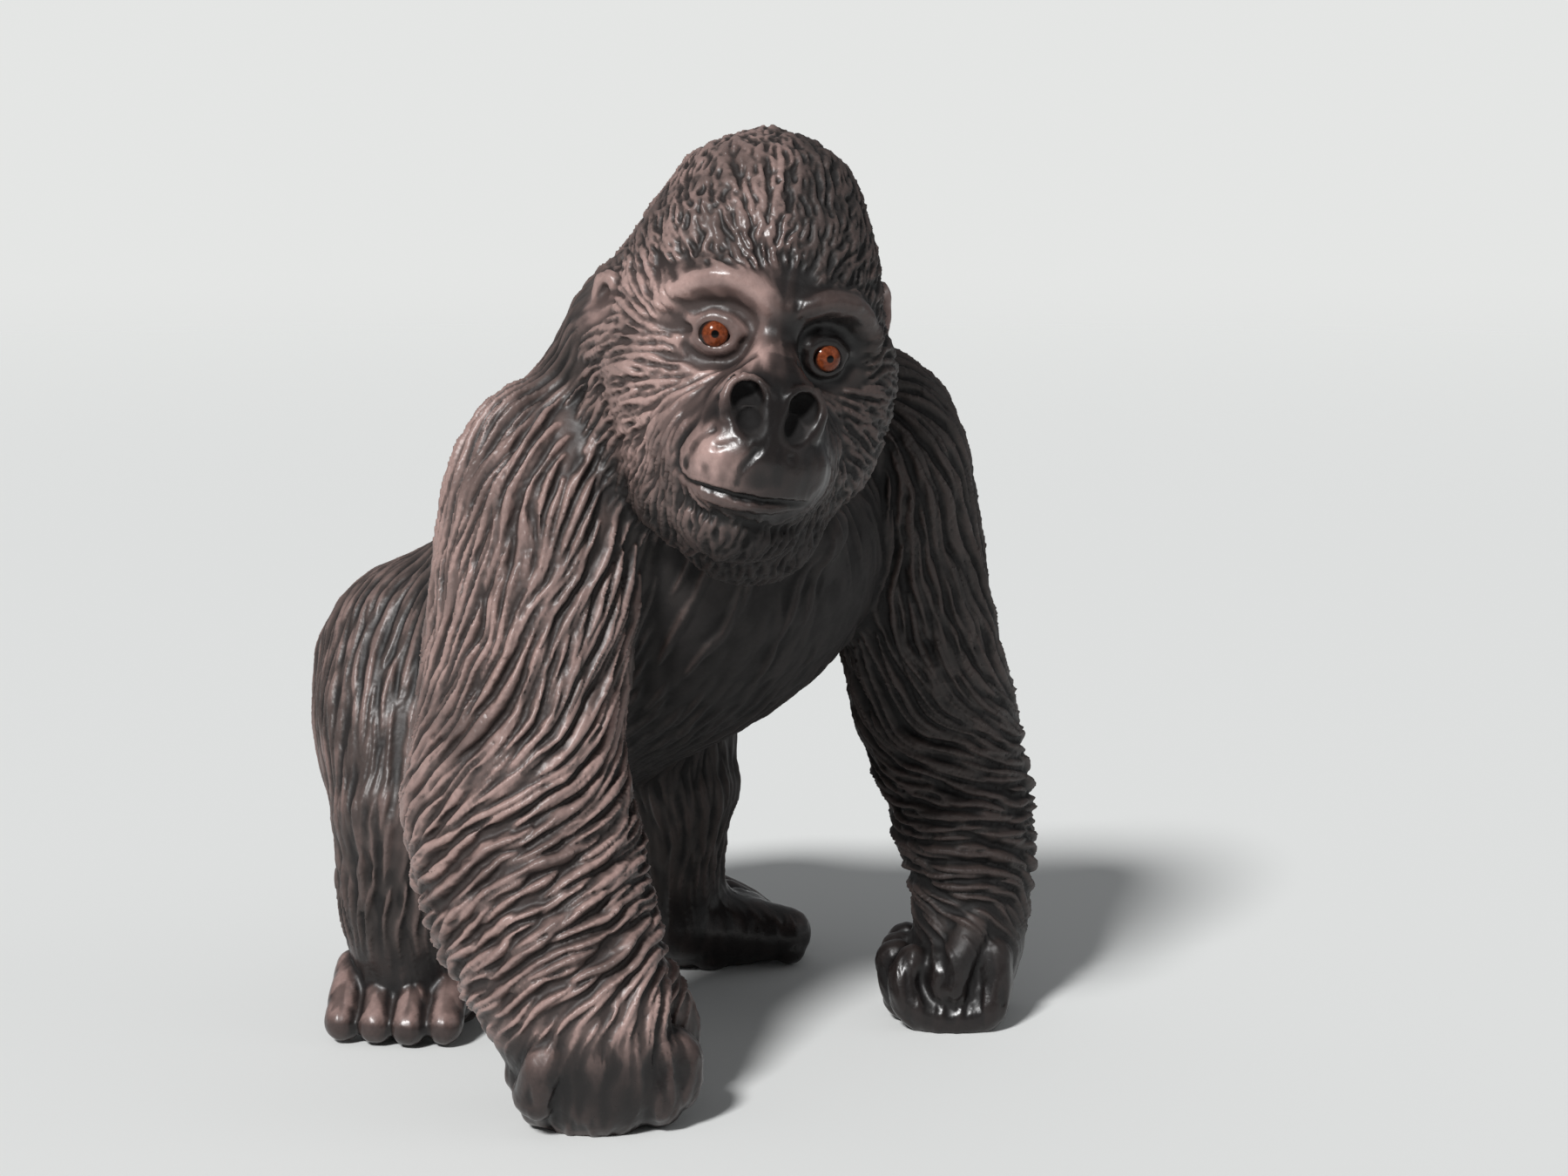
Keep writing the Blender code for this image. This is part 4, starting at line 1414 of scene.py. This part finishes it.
    def regions(self) -> dict[str, np.ndarray]:
        """Returns the share of each coat's region."""
        crest = self.head * soft(self.skull[:, 2], 3.2, 4.6)
        cheeks = self.head * (1 - soft(self.skull[:, 2], 3.0, 4.4))
        body = 1 - self.upper - self.fore - self.head - self.shins
        middle = (self.points[:, 1] < -9) * (np.abs(self.points[:, 0] + 1) < 13)
        chest = middle * (self.normals[:, 1] < -0.2) * (self.share_of["trunk"] > 0.3)
        return {
            "upper_arm_coat": soft(self.upper, 0.35, 0.6) * self.hairy,
            "forearm_coat": soft(self.fore, 0.45, 0.65) * self.hairy,
            "crest_coat": soft(crest, 0.4, 0.7) * self.hairy,
            "cheek_coat": soft(cheeks, 0.35, 0.6) * self.hairy,
            "body_coat": soft(body, 0.4, 0.7) * self.hairy * (1 - chest * 0.8),
            "shin_coat": soft(self.shins, 0.4, 0.6) * self.hairy,
        }

    def warmth_and_light(self) -> np.ndarray:
        """Returns how much of the paler paint is laid on, with painted light: more on the half of the face
        and the surfaces towards the light, and on the tops of the feet.
        """
        height = self.skull[:, 2]
        # Paler paint on the face, mostly on the half towards the light, which is painted light.
        face = self.head * (1 - 0.5 * soft(height, 4.2, 6.5)) * self.lit
        face = face * (1 - self.nose) * (1 - 0.8 * self.muzzle)
        face = np.maximum(face * (1 - 0.85 * soft(-height, 9.0, 13.0)), self.bump * 0.9)
        face = np.maximum(face, 1 - soft(self.from_ear, 1.8, 3.0))
        # Painted light: more paler paint where a surface faces the light.
        sunlit = 0.3 + 0.7 * soft(self.normals @ self.LIGHT, -0.25, 0.45)
        arms = 0.72 * (self.upper + self.fore) * (1 - 0.8 * self.hands)
        body = (arms + 0.35 * self.thighs + 0.12 * self.shins) * sunlit
        # Painted light: paler tops of the feet, and paler paint on the body only on the figure's right side,
        # towards the light.
        body = (body + 0.6 * self.feet * self.upward) * (self.points[:, 0] < 2)
        return np.maximum(face, body)

    def darkness_and_shade(self) -> np.ndarray:
        """Returns how much near-black colour lies over all other paint: painted shade on undersides, on the
        side away from the light, under the chin and in the nostrils, and the dark paint of the nose and
        muzzle;
        the hands, shins and the rings round the eyes are darker too.
        """
        share = self.share_of
        under = soft(self.normals @ self.SHADE, 0.0, 0.6)
        x, _, z = self.sculpted.eye
        from_eye = np.hypot(np.abs(self.face[:, 0]) - x, self.face[:, 2] - z)
        # Painted shade where the trunk, neck and thighs face down, forwards and away from the light.
        dark = under * (share["trunk"] + share["neck"] + 0.6 * self.thighs)
        # Darker hands; painted shade on the feet where they don't face up.
        dark = dark + 0.75 * self.hands + 0.4 * self.feet * (1 - self.upward)
        # Painted shade on the left arm, on the side away from the light; the shins are darker too.
        dark = dark + 0.5 * (share["left_upper_arm"] + share["left_forearm"]) + 0.25 * self.shins
        # Painted shade under the chin.
        dark = dark + 0.7 * soft(-self.skull[:, 2], 11.5, 14.5) * self.head
        # Painted shade on the half of the face away from the light, and the nose's dark paint.
        dark = dark + 0.6 * self.head * (1 - self.lit) + 0.45 * self.nose
        # Darker round the eyes.
        dark = dark + 0.75 * self.head * (1 - soft(from_eye, 1.5, 2.8))
        # The muzzle's dark paint, and painted shade in the nostrils.
        dark = dark + 0.3 * self.muzzle * (1 - self.bump) + self.holes
        return dark.clip(0, 1)

    def gloss(self) -> np.ndarray:
        """Returns how smooth and shiny the paint is: bare skin, and the middle of the forehead."""
        height = self.skull[:, 2]
        forehead = self.head * soft(-np.abs(self.skull[:, 0] + 0.5), -3.4, -1.6)
        forehead = forehead * soft(height, 4.0, 5.5) * (1 - soft(height, 8.5, 10.5))
        return np.maximum(self.bare, 0.9 * forehead) * (1 - self.holes)


@dataclass
class Gorilla:
    """The whole figure, from masses to finished pieces."""

    trunk: Trunk = field(default_factory=Trunk)
    head: Head = field(default_factory=Head)
    arms: tuple[Arm, Arm] = field(
        default_factory=lambda: (
            Arm(
                Side.RIGHT,
                upper=(
                    (-12.0, -4.0, 51.5, 7.0, 7.5),
                    (-15.6, -4.5, 49.5, 8.0, 8.6),
                    (-17.9, -4.7, 43.0, 7.8, 8.2),
                    (-19.9, -5.0, 35.5, 7.4, 7.8),
                    (-21.3, -5.2, 26.5, 7.7, 8.0),
                ),
                fore=(
                    (-21.4, -5.4, 25.5, 8.4, 7.0),
                    (-21.4, -7.6, 19.5, 8.4, 6.6),
                    (-20.6, -10.2, 12.5, 7.6, 5.7),
                    (-19.4, -12.0, 7.0, 6.6, 5.1),
                    (-18.6, -12.4, 3.8, 6.2, 4.9),
                ),
                thumb=(
                    (-14.0, -11.6, 11.5, 2.1, 2.1),
                    (-11.2, -12.0, 7.4, 1.9, 1.9),
                    (-10.3, -12.1, 4.4, 1.6, 1.6),
                ),
                outer_finger=(
                    (-22.2, -13.2, 8.5, 1.9, 1.9),
                    (-24.4, -13.0, 6.0, 1.7, 1.7),
                    (-24.2, -11.8, 3.4, 1.9, 1.9),
                ),
                palm=(
                    (-22.2, -9.2, 4.4, 2.8, 2.6),
                    (-20.8, -10.4, 4.4, 4.2, 3.6),
                    (-18.4, -12.4, 4.4, 4.6, 3.9),
                    (-16.0, -14.4, 4.4, 4.3, 3.7),
                    (-14.5, -15.6, 4.4, 3.4, 2.9),
                ),
                knuckles=(-18.4, -12.3, 3.0),
                fingers=(-1.45, -0.5, 0.5, 1.45),
            ),
            Arm(
                Side.LEFT,
                upper=(
                    (12.0, -4.5, 51.2, 7.2, 7.5),
                    (14.9, -5.2, 49.6, 7.6, 8.2),
                    (17.7, -5.2, 42.0, 6.6, 7.8),
                    (20.5, -5.5, 34.0, 5.7, 7.2),
                    (23.1, -5.2, 26.5, 6.1, 7.0),
                ),
                fore=(
                    (23.9, -5.2, 25.0, 7.0, 6.2),
                    (25.1, -6.4, 18.5, 6.9, 5.6),
                    (25.4, -7.5, 11.5, 6.3, 5.0),
                    (24.5, -8.2, 6.5, 5.9, 4.8),
                    (23.3, -8.2, 3.8, 5.5, 4.8),
                ),
                thumb=(
                    (21.6, -11.6, 9.0, 1.7, 1.7),
                    (19.9, -12.0, 6.2, 1.45, 1.45),
                    (19.2, -12.0, 4.0, 1.15, 1.15),
                ),
                outer_finger=(
                    (22.9, -13.0, 6.4, 1.6, 1.6),
                    (22.6, -13.3, 3.6, 1.7, 1.7),
                    (21.6, -13.0, 1.5, 1.7, 1.7),
                    (19.2, -11.0, 1.1, 1.7, 1.7),
                    (17.4, -9.2, 2.0, 1.65, 1.65),
                    (17.0, -8.2, 4.0, 1.55, 1.55),
                    (17.9, -8.4, 5.8, 1.4, 1.4),
                ),
                palm=(
                    (20.2, -10.5, 4.2, 3.3, 2.6),
                    (22.0, -9.6, 4.2, 4.2, 3.4),
                    (24.4, -7.4, 4.2, 4.2, 3.6),
                    (26.0, -5.8, 4.2, 3.2, 2.8),
                ),
                knuckles=(23.1, -9.1, 3.0),
                fingers=(-0.6, 0.4, 1.4),
            ),
        )
    )
    legs: tuple[Leg, Leg] = field(
        default_factory=lambda: (
            Leg(
                Side.RIGHT,
                thigh=(
                    (-9.2, 23.3, 29.4, 10.6, 11.0),
                    (-13.0, 20.3, 25.0, 9.2, 9.3),
                    (-16.6, 17.0, 19.5, 6.4, 6.4),
                ),
                shin=(
                    (-16.7, 17.0, 18.5, 6.0, 6.0),
                    (-16.5, 18.3, 12.0, 5.3, 5.1),
                    (-15.2, 19.3, 6.5, 5.0, 4.6),
                ),
                sole=(
                    (-9.1, 24.9, 2.8, 3.6, 3.2),
                    (-13.1, 20.9, 3.2, 4.9, 3.6),
                    (-16.1, 17.7, 2.8, 5.4, 3.2),
                ),
                toes=(-16.4, 17.4, 2.0),
                splay=45.0,
                instep=((-13.6, 20.6, 5.0, 3.6, 4.4), (-16.2, 17.6, 4.0, 2.8, 5.4)),
            ),
            Leg(
                Side.LEFT,
                thigh=(
                    (9.0, 23.0, 28.5, 10.6, 10.8),
                    (11.2, 20.5, 24.0, 8.6, 9.0),
                    (12.4, 17.6, 17.5, 5.6, 6.0),
                ),
                shin=(
                    (12.4, 17.8, 17.0, 5.4, 5.6),
                    (12.8, 18.8, 11.5, 4.7, 4.9),
                    (13.8, 19.4, 7.0, 4.5, 4.5),
                ),
                sole=(
                    (9.0, 25.0, 2.8, 3.6, 3.2),
                    (14.0, 21.0, 3.4, 4.6, 3.8),
                    (20.2, 17.6, 3.0, 4.8, 3.4),
                ),
                toes=(21.0, 18.0, 1.9),
                splay=60.0,
                instep=(
                    (13.0, 18.8, 4.4, 3.4, 3.4),
                    (18.2, 16.0, 3.6, 3.1, 2.9),
                    (22.4, 14.0, 2.8, 2.5, 2.4),
                ),
            ),
        )
    )
    # Region, then spacing, length, width, height, waviness, wave length, lift and seed.
    coats: tuple[Coat, ...] = (
        Coat("upper_arm_coat", 1.35, 9.5, 1.25, 0.7, 0.6, 4.5, 0.16, 3),
        Coat("forearm_coat", 1.6, 6.5, 1.6, 0.85, 0.75, 4.0, 0.12, 5),
        Coat("crest_coat", 0.6, 1.7, 0.52, 0.3, 1.0, 1.4, 0.13, 7),
        Coat("cheek_coat", 0.62, 2.4, 0.52, 0.32, 0.5, 2.0, 0.1, 9),
        Coat("body_coat", 1.8, 7.0, 1.1, 0.24, 0.4, 6.0, 0.05, 11),
        Coat("shin_coat", 1.5, 6.0, 1.1, 0.5, 0.4, 4.0, 0.25, 13),
    )

    def limbs(self) -> dict[str, Limb]:
        """Returns every mass that hair lies along, by name."""
        found = {"trunk": self.trunk.spine, "neck": self.trunk.neck}
        for arm in self.arms:
            side = arm.side.name.lower()
            found |= {f"{side}_upper_arm": arm.upper_limb(), f"{side}_forearm": arm.fore_limb()}
        for leg in self.legs:
            side = leg.side.name.lower()
            found |= {f"{side}_thigh": Limb(leg.thigh), f"{side}_shin": Limb(leg.shin)}
        return found

    def shape(self) -> Skin:
        """Makes the figure without its coat."""
        masses = self.trunk.masses() + self.head.masses()
        for limb in (*self.arms, *self.legs):
            masses += limb.masses()
        skin = Skin(masses, BODY_VOXEL, 4)
        skin.fill_creases(30)
        face = self.head.face_frame()
        for sign in (-1, 1):
            socket = face @ Vector((sign * self.head.eye[0], self.head.eye[1], self.head.eye[2]))
            skin.press([socket], 3.3, 1.0)
        details = self.head.features()
        for arm in self.arms:
            details += arm.fist()
        for leg in self.legs:
            details += leg.foot()
        skin.add(details, FEATURE_VOXEL, 2)
        skin.press([tuple(face @ Vector(spot)) for spot in self.head.mouth], 0.55, 0.42)
        for path, radius, depth in self.head.wrinkles:
            skin.press([tuple(face @ Vector(spot)) for spot in path], radius, depth)
        for sign in (-1, 1):
            x, y, z = self.head.nostril
            for rise in (-1.1, 0.0, 1.1):
                hole = [face @ Vector((sign * (x + rise * 0.3), y + reach, z + rise)) for reach in (0.0, 2.0)]
                skin.press([tuple(spot) for spot in hole], 1.5, 1.25)
        log.info("body cast: %d vertices", len(skin.mesh.vertices))
        return skin

    def sculpt(self) -> Skin:
        """Makes the fine surface of the whole figure, coat and all."""
        skin = self.shape()
        chart = Chart(skin, self.head, self.limbs())
        skin.mark("comb", chart.comb)
        skin.mark("fullness", chart.fullness())
        for name, share in chart.regions().items():
            skin.mark(name, share)
        tree = CoatTree(steps=12)
        coats = [tree.locks(skin.mesh, coat) for coat in self.coats]
        skin.add(coats, COAT_VOXEL, 1)
        log.info("coat cast: %d vertices", len(skin.mesh.vertices))
        skin.sharpen(20, 0.7)
        return skin

    def cut_flat(self, skin: Skin) -> None:
        """Cuts away what lies under the floor and closes the soles."""
        solid = bmesh.new()
        solid.from_mesh(skin.mesh)
        bmesh.ops.bisect_plane(
            solid,
            geom=solid.verts[:] + solid.edges[:] + solid.faces[:],
            dist=1e-4,
            plane_co=(0, 0, 0),
            plane_no=(0, 0, -1),
            clear_outer=True,
        )
        bmesh.ops.holes_fill(solid, edges=[edge for edge in solid.edges if edge.is_boundary])
        bmesh.ops.triangulate(solid, faces=solid.faces)
        bmesh.ops.recalc_face_normals(solid, faces=solid.faces)
        solid.to_mesh(skin.mesh)
        solid.free()

    def finish_marks(self, skin: Skin) -> np.ndarray:
        """Adds the finest strands and marks what the paint, with its painted light and shade, reads.

        Args:
            skin: the surface; its vertices are moved.

        Returns:
            The number in PIECES of the piece that each vertex belongs to.
        """
        chart = Chart(skin, self.head, self.limbs())
        points = skin.points()
        strands = skin.strands(chart.comb, 70)
        depth = chart.hairy * 0.11 + chart.bare * 0.07 + chart.hands * 0.12
        skin.place(points + skin.normals() * ((strands - 0.5) * depth)[:, None])
        skin.mark("relief", skin.relief(30) * chart.detail)
        skin.mark("bare", chart.gloss())
        # Paler paint with painted light on the side towards the light, and near-black with painted shade.
        skin.mark("warm", chart.warmth_and_light())
        skin.mark("dark", chart.darkness_and_shade())
        skin.mark("strand", strands)
        return chart.owner

    def pieces(self) -> list[bpy.types.Object]:
        """Makes the finished pieces of the figure, in metres."""
        skin = self.sculpt()
        self.cut_flat(skin)
        owner = self.finish_marks(skin)
        paint = PaintedPlastic().material()
        shift = Matrix.Translation(BASE_SHIFT)
        skin.mesh.transform(Matrix.Scale(MM, 4) @ shift)
        made = []
        corners = read(skin.mesh.loops, "vertex_index", 1, int)
        face_owner = owner[corners.reshape(-1, 3)].max(1)
        for number, name in enumerate(PIECES):
            piece = self.cut_out(skin.mesh, face_owner == number, name)
            piece.data.materials.append(paint)
            made.append(piece)
            log.info("piece %s: %d triangles", name, len(piece.data.polygons))
        return made

    @staticmethod
    def cut_out(mesh: bpy.types.Mesh, keep: np.ndarray, name: str) -> bpy.types.Object:
        """Copies the faces that are kept into a piece, with the whole skin's normals.

        Args:
            mesh: the whole skin.
            keep: whether each face is kept.
            name: the piece's name.

        Returns:
            The piece.
        """
        normals = read(mesh.vertex_normals, "vector", 3)
        part = mesh.copy()
        part.name = name
        layer = part.attributes.new("whole_normal", "FLOAT_VECTOR", "POINT")
        layer.data.foreach_set("vector", normals.astype(np.float32).ravel())
        cutter = bmesh.new()
        cutter.from_mesh(part)
        cutter.faces.ensure_lookup_table()
        gone = [face for face, kept in zip(cutter.faces, keep) if not kept]
        bmesh.ops.delete(cutter, geom=gone, context="FACES")
        cutter.to_mesh(part)
        cutter.free()
        kept_normals = read(part.attributes["whole_normal"].data, "vector", 3)
        part.attributes.remove(part.attributes["whole_normal"])
        part.polygons.foreach_set("use_smooth", [True] * len(part.polygons))
        part.normals_split_custom_set_from_vertices(kept_normals)
        return linked(name, part)

    def eyes(self) -> list[bpy.types.Object]:
        """Makes the painted eyes, in metres."""
        made = []
        face = self.head.face_frame()
        shift = Matrix.Scale(MM, 4) @ Matrix.Translation(BASE_SHIFT)
        radius = self.head.eye_radius
        x, y, z = self.head.eye
        for side in Side:
            centre = Vector((side.value * x, y + radius, z))
            mass = ball(centre, (radius,) * 3)
            mass.transform(shift @ face)
            name = f"{side.name.lower()}_eye"
            mesh = bpy.data.meshes.new(name)
            mass.to_mesh(mesh)
            mass.free()
            mesh.polygons.foreach_set("use_smooth", [True] * len(mesh.polygons))
            looking = centre + Vector((side.value * 0.25, -radius, 0.0))
            mesh.materials.append(EyePaint(f"{name}_paint", tuple(shift @ face @ looking)).material())
            made.append(linked(name, mesh))
        return made


@dataclass
class Studio:
    """The pale floor, the lamps, the backdrop and the camera.

    Attributes:
        eye: where the camera stands, in metres.
        bearing: the direction that it looks in, clockwise from +Y seen from above, in degrees.
        dip: how far it looks down, in degrees.
        lens: its focal length for a sensor 36 mm wide.
        floor_colour: the colour of the floor.
        fade: how far from the figure the floor starts and stops fading, in metres.
        sky: the colour of the light from all round.
        backdrop_colour: the colour that the camera sees behind the figure.
        sky_strength: how bright that light is.
    """

    eye: Point = (-0.1636, -0.2074, 0.0807)
    bearing: float = 40.0
    dip: float = 9.0
    lens: float = 74.36
    floor_colour: Colour = (0.80, 0.81, 0.80, 1)
    fade: tuple[float, float] = (0.25, 1.1)
    sky: Colour = (0.86, 0.88, 0.90, 1)
    backdrop_colour: Colour = (0.78, 0.79, 0.78, 1)
    sky_strength: float = 0.24

    def build(self) -> None:
        """Sets everything up."""
        self.floor()
        self.backdrop()
        self.camera()
        self.lamps()
        bpy.context.scene.view_settings.view_transform = "Standard"

    def floor(self) -> None:
        """Makes the pale floor."""
        mesh = bpy.data.meshes.new("floor")
        shape = bmesh.new()
        bmesh.ops.create_grid(shape, x_segments=1, y_segments=1, size=3.0)
        shape.to_mesh(mesh)
        shape.free()
        made = bpy.data.materials.new("pale_floor")
        sheet = NodeSheet.blank(made)
        reach = sheet.node("ShaderNodeVectorMath", {"operation": "LENGTH"}, {0: sheet.place()}, "Value")
        alpha = 1.0 - reach.span(*self.fade)
        inputs = {"Base Color": self.floor_colour, "Roughness": 0.9, "Alpha": alpha}
        shader = sheet.add("ShaderNodeBsdfPrincipled", {}, inputs)
        sheet.end("ShaderNodeOutputMaterial", shader)
        mesh.materials.append(made)
        floor = linked("floor", mesh)

    def backdrop(self) -> None:
        """Makes a world that lights softly and looks pale to the camera."""
        world = bpy.data.worlds.new("studio")
        bpy.context.scene.world = world
        sheet = NodeSheet.blank(world)
        seen = sheet.node("ShaderNodeLightPath", {}, {}, "Is Camera Ray")
        colour = sheet.mixed(seen, self.sky, self.backdrop_colour)
        strength = seen * (1.0 - self.sky_strength) + self.sky_strength
        light = sheet.add("ShaderNodeBackground", {}, {"Color": colour, "Strength": strength})
        sheet.end("ShaderNodeOutputWorld", light)

    def camera(self) -> None:
        """Stands the camera where the photographer stood."""
        data = bpy.data.cameras.new("camera")
        data.lens = self.lens
        data.sensor_width = 36.0
        data.clip_start = 0.01
        data.clip_end = 20.0
        camera = linked("camera", data)
        bearing, dip = math.radians(self.bearing), math.radians(self.dip)
        level = math.cos(dip)
        view = Vector((math.sin(bearing) * level, math.cos(bearing) * level, -math.sin(dip)))
        turn = view.to_track_quat("-Z", "Y").to_matrix().to_4x4()
        shift = Vector(BASE_SHIFT) * MM
        camera.matrix_world = Matrix.Translation(Vector(self.eye) + shift) @ turn
        bpy.context.scene.camera = camera

    def lamps(self) -> None:
        """Hangs a soft key light over the camera's left shoulder, and a weak fill."""
        self.lamp("key", (-0.85, -0.38, 0.80), 10.0, 3.4)
        self.lamp("fill", (0.60, -0.75, 0.45), 40.0, 0.12)

    def lamp(self, name: str, place: Point, spread: float, strength: float) -> None:
        """Hangs one soft lamp, far off, that lights the figure and the floor evenly.

        Args:
            name: what it is called.
            place: the direction that its light comes from.
            spread: how wide it looks from the figure, in degrees.
            strength: how bright it is.
        """
        data = bpy.data.lights.new(name, "SUN")
        data.angle = math.radians(spread)
        data.energy = strength
        aim = (-Vector(place)).to_track_quat("-Z", "Y").to_matrix().to_4x4()
        linked(name, data).matrix_world = Matrix.Translation(place) @ aim


def main() -> None:
    """Builds the figure, dresses it and sets up the studio."""
    logging.basicConfig(level=logging.INFO, format="%(message)s")
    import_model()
    gorilla = Gorilla()
    for piece in gorilla.pieces() + gorilla.eyes():
        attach(piece, "root")
        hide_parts(NODE)
        log.info("made %s", piece.name)
    Studio().build()


if __name__ == "__main__":
    main()
